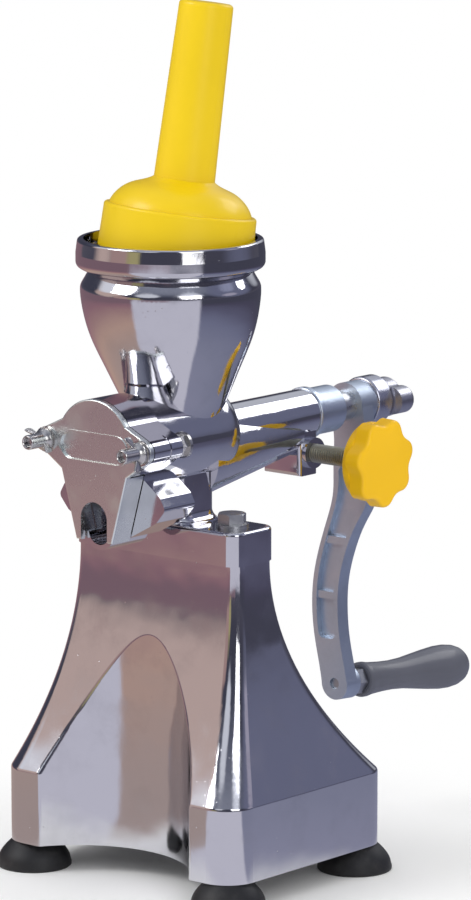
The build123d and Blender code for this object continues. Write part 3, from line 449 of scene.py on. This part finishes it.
# ------------------------------------------------------------------ settings
class JuicerMetals(bpy.types.PropertyGroup):
    casting: FloatVectorProperty(name="Polished casting", description="Colour of the polished aluminium",
                                 subtype="COLOR", default=(0.66, 0.66, 0.70), min=0.0, max=1.0)
    cover: FloatVectorProperty(name="Cover casting", description="Colour of the front cover's aluminium",
                               subtype="COLOR", default=(0.82, 0.87, 0.86), min=0.0, max=1.0)
    head_roughness: FloatProperty(name="Head roughness", description="Blur of the head's and hopper's shine",
                                  default=0.07, min=0.0, max=1.0, subtype="FACTOR")
    stand_roughness: FloatProperty(name="Stand roughness", description="Blur of the stand's shine",
                                   default=0.09, min=0.0, max=1.0, subtype="FACTOR")
    cover_roughness: FloatProperty(name="Cover roughness", description="Blur of the front cover's shine",
                                   default=0.27, min=0.0, max=1.0, subtype="FACTOR")
    crank: FloatVectorProperty(name="Crank casting", description="Colour of the crank's satin aluminium",
                               subtype="COLOR", default=(0.64, 0.72, 0.83), min=0.0, max=1.0)
    ring: FloatVectorProperty(name="Clamp ring", description="Colour of the ring that clamps the crank",
                              subtype="COLOR", default=(0.60, 0.61, 0.69), min=0.0, max=1.0)
    thumb_bolt: FloatVectorProperty(name="Thumb bolt", description="Colour of the winged thumb bolt",
                                    subtype="COLOR", default=(0.60, 0.60, 0.66), min=0.0, max=1.0)
    steel: FloatVectorProperty(name="Steel", description="Colour of turned steel",
                               subtype="COLOR", default=(0.66, 0.67, 0.69), min=0.0, max=1.0)
    zinc: FloatVectorProperty(name="Zinc", description="Colour of the zinc plated bolts",
                              subtype="COLOR", default=(0.50, 0.51, 0.53), min=0.0, max=1.0)
    nickel: FloatVectorProperty(name="Nickel", description="Colour of the wing nuts",
                                subtype="COLOR", default=(0.62, 0.61, 0.60), min=0.0, max=1.0)
    thread: FloatVectorProperty(name="Threaded rod", description="Colour of the regulator's rod",
                                subtype="COLOR", default=(0.46, 0.46, 0.39), min=0.0, max=1.0)
    thread_pitch: FloatProperty(name="Thread pitch", description="Pitch of the regulator's thread",
                                default=0.0015, unit="LENGTH")
    left_wing_turn: FloatProperty(name="Left wing nut", description="Turn of the left wing nut, in degrees",
                                  default=34.0)
    right_wing_turn: FloatProperty(name="Right wing nut",
                                   description="Turn of the right wing nut, in degrees", default=67.0)


class JuicerPlastics(bpy.types.PropertyGroup):
    pusher: FloatVectorProperty(name="Pusher", description="Colour of the pusher",
                                subtype="COLOR", default=(0.86, 0.595, 0.003), min=0.0, max=1.0)
    knob: FloatVectorProperty(name="Star knob", description="Colour of the star knob",
                              subtype="COLOR", default=(0.96, 0.555, 0.003), min=0.0, max=1.0)
    grip: FloatVectorProperty(name="Grip", description="Colour of the crank's grip",
                              subtype="COLOR", default=(0.125, 0.13, 0.165), min=0.0, max=1.0)
    bushes: FloatVectorProperty(name="Bushes", description="Colour of the shaft's plastic bushes",
                                subtype="COLOR", default=(0.82, 0.8, 0.74), min=0.0, max=1.0)
    rubber: FloatVectorProperty(name="Rubber", description="Colour of the feet and gasket",
                                subtype="COLOR", default=(0.008, 0.008, 0.010), min=0.0, max=1.0)
    lobes: IntProperty(name="Lobes", description="Lobes of the star knob", default=7, min=3)
    lobe_reach: FloatProperty(name="Lobe reach", description="Star knob's largest radius",
                              default=0.0236, unit="LENGTH")
    first_lobe: FloatProperty(name="First lobe", description="Turn of the knob's first lobe, in degrees",
                              default=14.5)
    grip_length: FloatProperty(name="Grip length", description="Length of the moulded grip",
                               default=0.087, unit="LENGTH")
    seam_turn: FloatProperty(name="Seam turn", description="Grip's mould seam, in degrees from its top",
                             default=112.0)


class JuicerStudio(bpy.types.PropertyGroup):
    azimuth: FloatProperty(name="Azimuth", description="Camera's direction from the front, in degrees",
                           default=40.29987)
    elevation: FloatProperty(name="Elevation", description="Camera's height above the level, in degrees",
                             default=10.31266)
    distance: FloatProperty(name="Distance", description="From the camera to the point it looks at",
                            default=2.64021, unit="LENGTH")
    focal_share: FloatProperty(name="Focal share", description="Focal length over the frame's height",
                               default=5.8335622)
    aim_right: FloatProperty(name="Aim right", description="Point looked at, right of the origin as seen",
                             default=0.02103, unit="LENGTH")
    aim_height: FloatProperty(name="Aim height", description="Height of the point looked at",
                              default=0.21574, unit="LENGTH")
    floor_tint: FloatVectorProperty(name="Floor", description="Colour of the floor",
                                    subtype="COLOR", default=(0.96, 0.96, 0.96), min=0.0, max=1.0)


# ------------------------------------------------------------------ operators: finishes
class JUICER_OT_castings(bpy.types.Operator):
    """Give the head, hopper, stand and cover their polished aluminium"""
    bl_idname = "juicer.castings"
    bl_label = "Polished castings"

    def execute(self, context):
        metals = context.scene.juicer_metals
        head = polished_casting("polished_head", metals.casting, metals.head_roughness,
                                wave=0.0007, smudge=0.1)
        dress("head_casting", head)
        dress("hopper", head)
        dress("stand_tower", polished_casting("polished_stand", metals.casting, metals.stand_roughness,
                                              wave=0.0009, smudge=0.12))
        dress("front_cover", polished_casting("polished_cover", metals.cover, metals.cover_roughness,
                                              wave=0.0004, smudge=0.16))
        return {"FINISHED"}


class JUICER_OT_crank_finishes(bpy.types.Operator):
    """Give the crank, its clamp and its spindle their finishes"""
    bl_idname = "juicer.crank_finishes"
    bl_label = "Crank finishes"

    def execute(self, context):
        metals = context.scene.juicer_metals
        end_ring = shade(metals.crank, 1.15)
        collar = shade(metals.crank, 1.1)
        dress("crank_arm", satin_casting("crank_casting", metals.crank, roughness=0.42))
        dress("sleeve_end_ring", satin_casting("end_ring_casting", end_ring, roughness=0.3))
        dress("thrust_collar", satin_casting("collar_casting", collar, roughness=0.34))
        dress("crank_thumb_bolt", satin_casting("thumb_bolt_casting", metals.thumb_bolt, roughness=0.27))
        dress("hub_spacer", turned_metal("turned_spacer", metals.steel, roughness=0.2, axis=1))
        dress("crank_ring", turned_metal("clamp_ring_steel", metals.ring, roughness=0.16, axis=1,
                                         pitch=0.0006))
        zinc = plated_metal("spindle_zinc", metals.zinc, roughness=0.3, dull=0.15)
        dress("grip_spindle", zinc)
        dress("grip_lock_nut", zinc)
        return {"FINISHED"}


class JUICER_OT_fastener_finishes(bpy.types.Operator):
    """Give bolts, washers and nuts their plating"""
    bl_idname = "juicer.fastener_finishes"
    bl_label = "Fastener finishes"

    def execute(self, context):
        metals = context.scene.juicer_metals
        zinc = plated_metal("bolt_zinc", metals.zinc, roughness=0.3, dull=0.18)
        nickel = plated_metal("wing_nickel", metals.nickel, roughness=0.2, dull=0.12)
        for node in ("flange_bolts", "flange_washers", "flange_nuts", "foot_screws"):
            dress(node, zinc)
        for node in ("cover_bolts", "cover_washer_left", "cover_washer_right"):
            dress(node, nickel)
        return {"FINISHED"}


class JUICER_OT_press_finishes(bpy.types.Operator):
    """Give the auger, strainer and bushes inside the head their finishes"""
    bl_idname = "juicer.press_finishes"
    bl_label = "Press finishes"

    def execute(self, context):
        steel = context.scene.juicer_metals.steel
        bushes = context.scene.juicer_plastics.bushes
        dress("auger", plated_metal("auger_steel", steel, roughness=0.24, dull=0.2))
        dress("strainer", plated_metal("strainer_steel", steel, roughness=0.3, dull=0.1))
        dress("shaft_bushes", moulded_plastic("bush_plastic", bushes, roughness=0.4, grain_depth=0.00002,
                                              coat=0.0, deep=0.9))
        return {"FINISHED"}


class JUICER_OT_regulator_finishes(bpy.types.Operator):
    """Give the regulator's swivelling tip its finish"""
    bl_idname = "juicer.regulator_finishes"
    bl_label = "Regulator finishes"

    def execute(self, context):
        steel = context.scene.juicer_metals.steel
        dress("regulator_pad", turned_metal("tip_steel", steel, roughness=0.25, axis=0))
        return {"FINISHED"}


class JUICER_OT_soft_finishes(bpy.types.Operator):
    """Give the gasket and the pusher their finishes"""
    bl_idname = "juicer.soft_finishes"
    bl_label = "Gasket and pusher finishes"

    def execute(self, context):
        plastics = context.scene.juicer_plastics
        dress("cover_gasket", soft_rubber("gasket_rubber", plastics.rubber, dust=0.1))
        yellow = moulded_plastic("pusher_plastic", plastics.pusher, roughness=0.34, grain_depth=0.00001,
                                 coat=0.15, deep=0.95)
        dress("pusher_cup", yellow)
        dress("pusher_handle", yellow)
        return {"FINISHED"}


# ------------------------------------------------------------------ operators: new pieces
class JUICER_OT_suction_feet(bpy.types.Operator):
    """Model one suction foot and copy it under the stand's corners"""
    bl_idname = "juicer.suction_feet"
    bl_label = "Suction feet"

    def execute(self, context):
        rubber = soft_rubber("foot_rubber", context.scene.juicer_plastics.rubber, dust=0.15)
        low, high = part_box("foot_front_left")
        centre = Vector(((low.x + high.x) / 2, (low.y + high.y) / 2, 0.0))
        stations = self.profile((high.x - low.x) / 2, high.z)
        first = turned_piece("rubber_foot_front_left", centre, (0, 0, 1), stations, 72)
        for corner in ("front_right", "rear_left", "rear_right"):
            place = middle(f"foot_{corner}")
            move = (place.x - centre.x, place.y - centre.y, 0.0)
            foot = copied(first, f"rubber_foot_{corner}", move)
            finished(foot, rubber, "stand", [f"foot_{corner}"], 40.0)
        finished(first, rubber, "stand", ["foot_front_left"], 40.0)
        return {"FINISHED"}

    def profile(self, lip, top):
        """Height and radius, from the screw's recess through the cup, over the lip and up the flank."""
        cup_depth = 0.0036
        recess = 0.0055
        ceiling = top - 0.0055
        hollow = [(ceiling, recess * 0.2), (ceiling, recess), (cup_depth, recess),
                  (cup_depth, recess + 0.0024)]
        flank = ((0.0018, 0.68), (0.0, 0.885), (0.0, 0.97), (0.0006, 1.0), (0.0020, 1.0), (0.0028, 0.985),
                 (0.0033, 0.978), (0.0048, 0.962), (0.0066, 0.922), (0.0084, 0.862), (0.0101, 0.79),
                 (0.0116, 0.715), (0.0128, 0.648), (top - 0.0006, 0.61), (top, 0.59))
        screw_hole = (top, 0.003)
        return [*hollow, *((height, lip * share) for height, share in flank), screw_hole]


class JUICER_OT_star_knob(bpy.types.Operator):
    """Model the regulator's star knob with its round flange"""
    bl_idname = "juicer.star_knob"
    bl_label = "Star knob"

    def execute(self, context):
        plastics = context.scene.juicer_plastics
        low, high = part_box("regulator_knob")
        line = middle("regulator_screw")
        back = Vector((low.x, line.y, line.z))
        length = high.x - low.x
        flange_length = length * 0.33
        overlap = 0.0004
        flange = self.flange(back, flange_length)
        root = back + Vector((flange_length - overlap, 0.0, 0.0))
        star = self.star(plastics, root, length - flange_length + overlap)
        knob = joined("star_knob", [star, flange])
        plastic = moulded_plastic("knob_plastic", plastics.knob, roughness=0.32, grain_depth=0.00002,
                                  coat=0.15, deep=0.92)
        finished(knob, plastic, "regulator", ["regulator_knob"], 35.0)
        return {"FINISHED"}

    def flange(self, back, length):
        """Round flange behind the star, its rims rounded from far to near their corners."""
        radius = 0.0203
        bore = 0.0052
        far = 0.0008
        near = 0.0002
        stations = [(0.0005, bore - 0.0003), (0.0, bore), (0.0, radius - far), (near, radius - near),
                    (far, radius), (length - far, radius), (length - near, radius - near),
                    (length, radius - far), (length, 0.004)]
        return turned_piece("knob_flange", back, (1, 0, 0), stations, 96)

    def star(self, plastics, root, reach):
        """Star drawn forwards from a disc whose rim is pulled in between the lobes."""
        steps_per_lobe = 10
        spacing = 2 * math.pi / plastics.lobes
        waist = (0.992, 0.955, 0.895, 0.858, 0.846)  # share of the radius at each step from a lobe's tip
        layers = ((0.05, 0.985), (0.12, 0.98), (0.78, 0.975), (0.88, 0.965), (0.955, 0.94), (0.99, 0.9),
                  (1.0, 0.86), (0.985, 0.6), (0.98, 0.2))  # share of the reach and of the radius
        start_fresh()
        bpy.ops.mesh.primitive_circle_add(vertices=plastics.lobes * steps_per_lobe, fill_type="NGON",
                                          radius=plastics.lobe_reach, location=root,
                                          rotation=across((1, 0, 0)))
        star = bpy.context.object
        star.name = "star_knob"
        edit_faces(star)
        corner = max((star.matrix_world @ v.co - root for v in star.data.vertices), key=lambda v: v.y)
        first = math.atan2(corner.z, corner.y)
        for step, pull in enumerate(waist, start=1):
            def at_step(place, step=step):
                angle = (math.atan2(place.z - root.z, place.y - root.y) - first) % spacing
                away = min(angle, spacing - angle) / (spacing / steps_per_lobe)
                return abs(away - step) < 0.1
            pick_vertices(star, at_step)
            bpy.ops.transform.resize(value=(pull, pull, pull), center_override=root)
        bpy.ops.mesh.select_mode(type="FACE")
        bpy.ops.mesh.select_all(action="SELECT")
        at, wide = 0.0, 1.0
        for distance, share in layers:
            move = ((distance - at) * reach, 0, 0)
            bpy.ops.mesh.extrude_region_move(TRANSFORM_OT_translate={"value": move})
            grow = share / wide
            bpy.ops.transform.resize(value=(1.0, grow, grow), center_override=root)
            at, wide = distance, share
        bpy.ops.mesh.select_all(action="SELECT")
        turn = first - math.radians(plastics.first_lobe)
        bpy.ops.transform.rotate(value=turn, orient_axis="X", center_override=root)
        bpy.ops.object.mode_set(mode="OBJECT")
        apply_modifier(star, "SUBSURF", levels=2, render_levels=2)
        return star


class JUICER_OT_threaded_rod(bpy.types.Operator):
    """Cut a helical thread along the regulator's rod"""
    bl_idname = "juicer.threaded_rod"
    bl_label = "Threaded rod"

    def execute(self, context):
        metals = context.scene.juicer_metals
        low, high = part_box("regulator_screw")
        line = middle("regulator_screw")
        pitch = metals.thread_pitch
        crest = (high.z - low.z) / 2
        thread_depth = 0.5394 * pitch
        core = crest - thread_depth
        start = Vector((low.x + pitch, line.y, line.z))
        end_in_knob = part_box("regulator_knob")[0].x + 0.001
        turns = int((end_in_knob - start.x) / pitch)
        thread = self.thread(start, pitch, core, crest, turns)
        bevel = 0.0006
        filled = core + 0.00003
        stations = [(low.x, 0.0016), (low.x, core - bevel), (low.x + 0.0008, filled),
                    (high.x - 0.0008, filled), (high.x, core - bevel)]
        rod = turned_piece("rod_core", (0.0, line.y, line.z), (1, 0, 0), stations, 48)
        plating = plated_metal("rod_plating", metals.thread, roughness=0.34, dull=0.15)
        finished(joined("threaded_rod", [thread, rod]), plating, "regulator", ["regulator_screw"],
                 30.0)
        return {"FINISHED"}

    def thread(self, start, pitch, core, crest, turns):
        """One pitch of the thread's outline, screwed along the rod."""
        outline = ((0.0, core), (0.16, core), (0.46, crest), (0.58, crest), (0.88, core), (1.0, core))
        start_fresh()
        bpy.ops.mesh.primitive_plane_add(size=pitch, location=start)
        thread = bpy.context.object
        edit_faces(thread)
        pick_vertices(thread, lambda place: place.y > start.y)
        bpy.ops.mesh.delete(type="VERT")
        bpy.ops.mesh.select_mode(type="EDGE")
        bpy.ops.mesh.select_all(action="SELECT")
        bpy.ops.mesh.subdivide(number_cuts=len(outline) - 2)
        for index, (share, radius) in enumerate(outline):
            old = start.x + pitch * (index / (len(outline) - 1) - 0.5)

            def unmoved(place, old=old):
                return abs(place.x - old) < pitch * 0.02 and place.y < start.y - pitch * 0.4
            pick_vertices(thread, unmoved)
            move = (start.x + share * pitch - old, 0.5 * pitch - radius, 0.0)
            bpy.ops.transform.translate(value=move)
        bpy.ops.object.mode_set(mode="OBJECT")
        apply_modifier(thread, "SCREW", axis="X", screw_offset=pitch, iterations=turns, steps=28,
                       render_steps=28, use_merge_vertices=True, merge_threshold=0.000005)
        return thread


class JUICER_OT_wing_nuts(bpy.types.Operator):
    """Model a wing nut with its tubular hub on each cover bolt"""
    bl_idname = "juicer.wing_nuts"
    bl_label = "Wing nuts"

    def execute(self, context):
        metals = context.scene.juicer_metals
        nickel = plated_metal("nut_nickel", metals.nickel, roughness=0.16, dull=0.16)
        for side, turn in (("left", metals.left_wing_turn), ("right", metals.right_wing_turn)):
            low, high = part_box(f"wing_nut_{side}")
            line = middle(f"cover_washer_{side}")
            seat = Vector((line.x, high.y, line.z))
            hub = self.hub(side, seat, high.y - low.y)
            wings = [self.wing(side, seat, math.radians(turn + half)) for half in (0.0, 180.0)]
            nut = joined(f"wing_nut_cast_{side}", [hub, *wings])
            finished(nut, nickel, f"{side}_wing_nut", [f"wing_nut_{side}"], 35.0)
        return {"FINISHED"}

    def hub(self, side, seat, length):
        """Tube on a flared foot, open from end to end."""
        radius = 0.0037
        bore = 0.00252
        foot = [(0.0, bore), (0.0, 0.0053), (0.0004, 0.0056), (0.0016, 0.0056), (0.0026, 0.0048)]
        tube = [(0.0034, radius + 0.0002), (0.0042, radius), (length - 0.0009, radius),
                (length - 0.0003, radius - 0.0002), (length, radius - 0.0006)]
        inside = [(length, bore + 0.0003), (length - 0.0004, bore), (0.0, bore)]
        hub = turned_piece(f"wing_hub_{side}", seat, (0, -1, 0), foot + tube + inside, 40)
        edit_faces(hub)
        pick_faces(hub, lambda centre, normal: (centre - seat).xz.length < bore * 0.5)
        bpy.ops.mesh.delete(type="FACE")
        bpy.ops.object.mode_set(mode="OBJECT")
        return hub

    def wing(self, side, seat, turn):
        """One wing, drawn outwards and forwards from the hub, with soft edges."""
        steps = ((0.0016, 1.15, 0.95), (0.0016, 1.3, 0.95), (0.0016, 1.12, 0.92),
                 (0.0008, 0.72, 0.82))  # reach, growth along the hub and across the wing
        outward = Vector((0.92, -0.40, 0.0)).normalized()
        start_fresh()
        root = seat + Vector((0.0031, -0.0031, 0.0))
        bpy.ops.mesh.primitive_cube_add(size=1.0, location=root, scale=(0.0016, 0.0036, 0.0021))
        wing = bpy.context.object
        wing.name = f"wing_{side}"
        edit_faces(wing)
        for reach, grow, thin in steps:
            edge = max((wing.matrix_world @ v.co).x for v in bmesh.from_edit_mesh(wing.data).verts)

            def outer(centre, normal, edge=edge):
                return centre.x > edge - 0.0006 and normal.x > 0.5
            pick_faces(wing, outer)
            bpy.ops.mesh.extrude_region_move(TRANSFORM_OT_translate={"value": outward * reach})
            bpy.ops.transform.resize(value=(1.0, grow, thin))
        bpy.ops.mesh.select_all(action="SELECT")
        bpy.ops.transform.rotate(value=-turn, orient_axis="Y", center_override=seat)
        bpy.ops.object.mode_set(mode="OBJECT")
        apply_modifier(wing, "SUBSURF", levels=3, render_levels=3)
        return wing


class JUICER_OT_hand_grip(bpy.types.Operator):
    """Model the crank's moulded grip with its socket, seam and end dimple"""
    bl_idname = "juicer.hand_grip"
    bl_label = "Hand grip"

    def execute(self, context):
        plastics = context.scene.juicer_plastics
        pivot, axis = joint_line("grip_spin")
        inside_box = 0.0005
        end = (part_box("hand_grip")[1].y - pivot.y) / axis.y - inside_box
        start = end - plastics.grip_length
        grip = turned_piece("moulded_grip", pivot, axis, self.profile(start), 64)
        seam_height = 0.00016
        seam_cosine = 0.9991
        above = (Vector((0, 0, 1)) - axis * axis.z).normalized()
        seam = Matrix.Rotation(math.radians(plastics.seam_turn), 3, axis) @ above
        edit_faces(grip)
        for side in (seam, -seam):
            def on_seam(place, side=side):
                offset = place - pivot
                along = offset.dot(axis)
                radial = offset - axis * along
                return start + 0.004 < along < end - 0.003 and radial.normalized().dot(side) > seam_cosine
            pick_vertices(grip, on_seam)
            bpy.ops.transform.translate(value=side * seam_height)
        bpy.ops.object.mode_set(mode="OBJECT")
        plastic = moulded_plastic("grip_plastic", plastics.grip, roughness=0.36, grain_depth=0.00006,
                                  coat=0.2, deep=0.8)
        finished(grip, plastic, "grip", ["hand_grip"], 32.0)
        return {"FINISHED"}

    def profile(self, start):
        """Distance and radius: the socket, the collar, the waist, the bulb and the dimple in the end."""
        socket = [(0.0016, 0.0043), (0.0016, 0.0062)]
        collar = [(0.0, 0.0066), (0.0, 0.0080), (0.0006, 0.0089), (0.0018, 0.0093), (0.0040, 0.0093),
                  (0.0062, 0.0089), (0.0092, 0.00855)]
        waist = [(0.018, 0.0080), (0.027, 0.0078), (0.037, 0.0083), (0.047, 0.0095)]
        bulb = [(0.058, 0.0108), (0.067, 0.01165), (0.0735, 0.0117), (0.079, 0.0111), (0.083, 0.0099),
                (0.0855, 0.0084), (0.0866, 0.0070), (0.087, 0.0056)]
        dimple = [(0.087, 0.0031), (0.0864, 0.0026), (0.0862, 0.001)]
        return [(start + distance, radius) for distance, radius in socket + collar + waist + bulb + dimple]


# ------------------------------------------------------------------ stage
# What shiny surfaces see, by height: position from straight down to straight up, and colour.
ROOM_WALLS = (
    (0.0, (0.30, 0.30, 0.34)), (0.47, (0.11, 0.108, 0.135)), (0.50, (0.085, 0.083, 0.115)),
    (0.56, (0.062, 0.062, 0.088)), (0.70, (0.055, 0.058, 0.088)), (0.82, (0.13, 0.14, 0.19)),
    (0.92, (0.32, 0.34, 0.42)), (1.0, (0.60, 0.63, 0.72)),
)

# Soft panels that shiny surfaces see: direction, cosine at the rim, softness and colour.
PANELS = (
    ((-0.9, -0.75, 0.42), 0.90, 0.06, (0.62, 0.47, 0.42)),
    ((-0.9, -0.5, 0.85), 0.93, 0.05, (0.85, 0.86, 0.92)),
    ((0.15, -1.0, 0.62), 0.955, 0.03, (0.75, 0.77, 0.84)),
    ((-0.45, -1.0, 0.06), 0.965, 0.02, (0.45, 0.30, 0.28)),
    ((-0.1, -1.0, 0.02), 0.98, 0.015, (0.45, 0.40, 0.20)),
    ((1.0, -0.35, 0.75), 0.955, 0.03, (0.80, 0.83, 0.92)),
    ((0.70, 0.72, 0.55), 0.78, 0.16, (0.17, 0.18, 0.27)),
    ((0.62, 0.66, 0.80), 0.975, 0.02, (0.34, 0.36, 0.50)),
    ((1.0, 0.7, 0.35), 0.975, 0.02, (0.42, 0.40, 0.50)),
    ((-0.3, 1.0, 0.5), 0.92, 0.05, (0.60, 0.62, 0.68)),
)

# Painted reflection that the floor glows to shiny surfaces, left and right of the camera's line: share of
# FLOOR_REACH and colour.
WARM_SIDE = (
    (0.0, (0.44, 0.36, 0.34)), (0.17, (0.46, 0.36, 0.33)), (0.36, (0.56, 0.38, 0.31)),
    (0.52, (0.42, 0.26, 0.25)), (0.72, (0.33, 0.18, 0.21)), (1.0, (0.24, 0.15, 0.18)),
)
COOL_SIDE = (
    (0.0, (0.36, 0.36, 0.48)), (0.17, (0.27, 0.28, 0.38)), (0.36, (0.20, 0.21, 0.31)),
    (0.52, (0.13, 0.13, 0.20)), (0.72, (0.085, 0.08, 0.124)), (1.0, (0.07, 0.07, 0.10)),
)
FLOOR_REACH = 1.5  # metres from the middle to a side's last colour
# Colour of a painted reflection: a white sheet that the floor glows to shiny surfaces on the camera's side.
PAINTED_SHEET_REFLECTION = (0.66, 0.65, 0.74, 1.0)


def studio_world(world):
    """White to the camera, a dark room with soft panels to shiny surfaces, and even light to the rest."""
    world.use_nodes = True
    world.node_tree.nodes.clear()
    room = ShaderTree(world.node_tree)
    direction = room.node("ShaderNodeTexCoord", output="Generated")
    height = room.parts(direction)[2] * 0.5 + 0.5
    seen, shiny = room.plain_rays()
    walls = room.ramp(height, ROOM_WALLS)
    for towards, edge, soft, colour in PANELS:
        facing = room.node("ShaderNodeVectorMath", {"operation": "DOT_PRODUCT"},
                           {0: direction, 1: Vector(towards).normalized()}, output="Value")
        walls = room.blend(facing.step(edge, edge + soft), walls, rgba(colour))
    even = room.glow("ShaderNodeBackground", WHITE, strength=0.75)
    mirrored = room.glow("ShaderNodeBackground", walls)
    white = room.glow("ShaderNodeBackground", WHITE)
    final = room.mix(seen, room.mix(shiny, even, mirrored), white)
    room.node("ShaderNodeOutputWorld", {}, {"Surface": final}, output=None)


def paper_floor(colour, azimuth):
    """Pale paper, pure white to the camera further out. To shiny surfaces the floor glows a painted
    reflection of a white sheet and a dim room.
    """
    finish = Finish("floor_paper")
    fibre = finish.noise(scale=240.0, detail=3.0, roughness=0.5)
    paper = finish.surface({
        "Base Color": finish.blend(fibre, rgba(colour), shade(colour, 0.985)),
        "Roughness": 0.9,
        "Specular IOR Level": 0.1,
    })
    right, back, _ = finish.parts(finish.place(turn=(0.0, 0.0, -math.radians(azimuth))))
    away = (right * right + back * back) ** 0.5
    on_right = right.step(-0.02, 0.02)
    sheet_edge = 0.62 + on_right * 0.13  # cosine: the painted sheet reflection is narrower on the right
    towards_camera = (0.0 - back) / away
    sheet = towards_camera.step(sheet_edge, sheet_edge + 0.06) * (1.0 - away.step(1.8, 2.4))
    reach = away / FLOOR_REACH
    sides = finish.blend(on_right, finish.ramp(reach, WARM_SIDE), finish.ramp(reach, COOL_SIDE))
    # Painted reflections: the floor glows the sheet and the two sides to glossy rays, though it is no lamp.
    mirrored = finish.glow("ShaderNodeEmission", finish.blend(sheet, sides, PAINTED_SHEET_REFLECTION))
    white = finish.glow("ShaderNodeEmission", WHITE)
    seen, shiny = finish.plain_rays()
    lit = Signal(finish, finish.shader.outputs[0])
    past_shadow = away.step(0.15, 0.27)
    past_feet = away.step(0.09, 0.15)
    clean = finish.mix(past_shadow * seen, lit, white)
    final = finish.mix(past_feet * shiny, clean, mirrored)
    finish.feed(finish.tree.nodes["Material Output"].inputs["Surface"], final)
    return paper


def soft_lamp(name, place, aim, width, height, power):
    """Rectangular area lamp turned towards a point."""
    light = bpy.data.lights.new(name, "AREA")
    light.shape = "RECTANGLE"
    light.size = width
    light.size_y = height
    light.energy = power
    lamp = bpy.data.objects.new(name, light)
    bpy.context.scene.collection.objects.link(lamp)
    away = Vector(place) - Vector(aim)
    lamp.matrix_world = Matrix.Translation(place) @ away.to_track_quat("Z", "Y").to_matrix().to_4x4()


def photo_camera(studio):
    """Camera on the photograph's line of sight."""
    azimuth = math.radians(studio.azimuth)
    elevation = math.radians(studio.elevation)
    right = Vector((math.cos(azimuth), math.sin(azimuth), 0.0))
    back = Vector((math.sin(azimuth) * math.cos(elevation), -math.cos(azimuth) * math.cos(elevation),
                   math.sin(elevation)))
    up = back.cross(right)
    place = right * studio.aim_right + Vector((0, 0, studio.aim_height)) + back * studio.distance
    lens = bpy.data.cameras.new("photo_camera")
    lens.sensor_fit = "VERTICAL"
    lens.sensor_height = 36.0
    lens.lens = studio.focal_share * lens.sensor_height
    lens.clip_start = 0.1
    lens.clip_end = 50.0
    camera = bpy.data.objects.new("photo_camera", lens)
    bpy.context.scene.collection.objects.link(camera)
    camera.matrix_world = Matrix.Translation(place) @ Matrix((right, up, back)).transposed().to_4x4()
    return camera


class JUICER_OT_studio(bpy.types.Operator):
    """Lay the pale floor, hang the lamps and set the camera"""
    bl_idname = "juicer.studio"
    bl_label = "Studio"

    def execute(self, context):
        scene = context.scene
        studio = scene.juicer_studio
        start_fresh()
        bpy.ops.mesh.primitive_plane_add(size=14.0, location=(0, 0, 0))
        floor = context.object
        floor.name = "studio_floor"
        floor.data.materials.append(paper_floor(studio.floor_tint, studio.azimuth))
        soft_lamp("key_lamp", (-1.1, -1.6, 1.9), (0, 0, 0.2), width=1.1, height=1.1, power=22.0)
        soft_lamp("fill_lamp", (2.2, -0.9, 1.2), (0, 0, 0.2), width=1.2, height=1.4, power=12.0)
        soft_lamp("rim_lamp", (0.4, 2.0, 1.6), (0, 0, 0.25), width=1.4, height=0.8, power=10.0)
        scene.world = scene.world or bpy.data.worlds.new("studio_world")
        studio_world(scene.world)
        scene.camera = photo_camera(studio)
        scene.view_settings.view_transform = "Standard"
        return {"FINISHED"}


# ------------------------------------------------------------------ panel and registration
class JUICER_PT_dressing(bpy.types.Panel):
    bl_label = "Juicer dressing"
    bl_idname = "JUICER_PT_dressing"
    bl_space_type = "VIEW_3D"
    bl_region_type = "UI"
    bl_category = "Juicer"

    def draw(self, context):
        column = self.layout.column()
        for operator in OPERATORS:
            column.operator(operator.bl_idname)
        scene = context.scene
        for group in (scene.juicer_metals, scene.juicer_plastics, scene.juicer_studio):
            box = self.layout.box()
            for name in group.bl_rna.properties.keys():
                if name not in ("rna_type", "name"):
                    box.prop(group, name)


OPERATORS = (
    JUICER_OT_castings,
    JUICER_OT_crank_finishes,
    JUICER_OT_fastener_finishes,
    JUICER_OT_press_finishes,
    JUICER_OT_regulator_finishes,
    JUICER_OT_soft_finishes,
    JUICER_OT_suction_feet,
    JUICER_OT_star_knob,
    JUICER_OT_threaded_rod,
    JUICER_OT_wing_nuts,
    JUICER_OT_hand_grip,
    JUICER_OT_studio,
)
GROUPS = (JuicerMetals, JuicerPlastics, JuicerStudio)


def register():
    for part in (*GROUPS, *OPERATORS, JUICER_PT_dressing):
        bpy.utils.register_class(part)
    bpy.types.Scene.juicer_metals = PointerProperty(type=JuicerMetals)
    bpy.types.Scene.juicer_plastics = PointerProperty(type=JuicerPlastics)
    bpy.types.Scene.juicer_studio = PointerProperty(type=JuicerStudio)


def unregister():
    del bpy.types.Scene.juicer_studio
    del bpy.types.Scene.juicer_plastics
    del bpy.types.Scene.juicer_metals
    for part in reversed((*GROUPS, *OPERATORS, JUICER_PT_dressing)):
        bpy.utils.unregister_class(part)


def main():
    """Dress the juicer piece by piece."""
    register()
    bpy.ops.juicer.castings()
    bpy.ops.juicer.crank_finishes()
    bpy.ops.juicer.fastener_finishes()
    bpy.ops.juicer.press_finishes()
    bpy.ops.juicer.regulator_finishes()
    bpy.ops.juicer.soft_finishes()
    bpy.ops.juicer.suction_feet()
    bpy.ops.juicer.star_knob()
    bpy.ops.juicer.threaded_rod()
    bpy.ops.juicer.wing_nuts()
    bpy.ops.juicer.hand_grip()
    bpy.ops.juicer.studio()


if __name__ == "__main__":
    main()
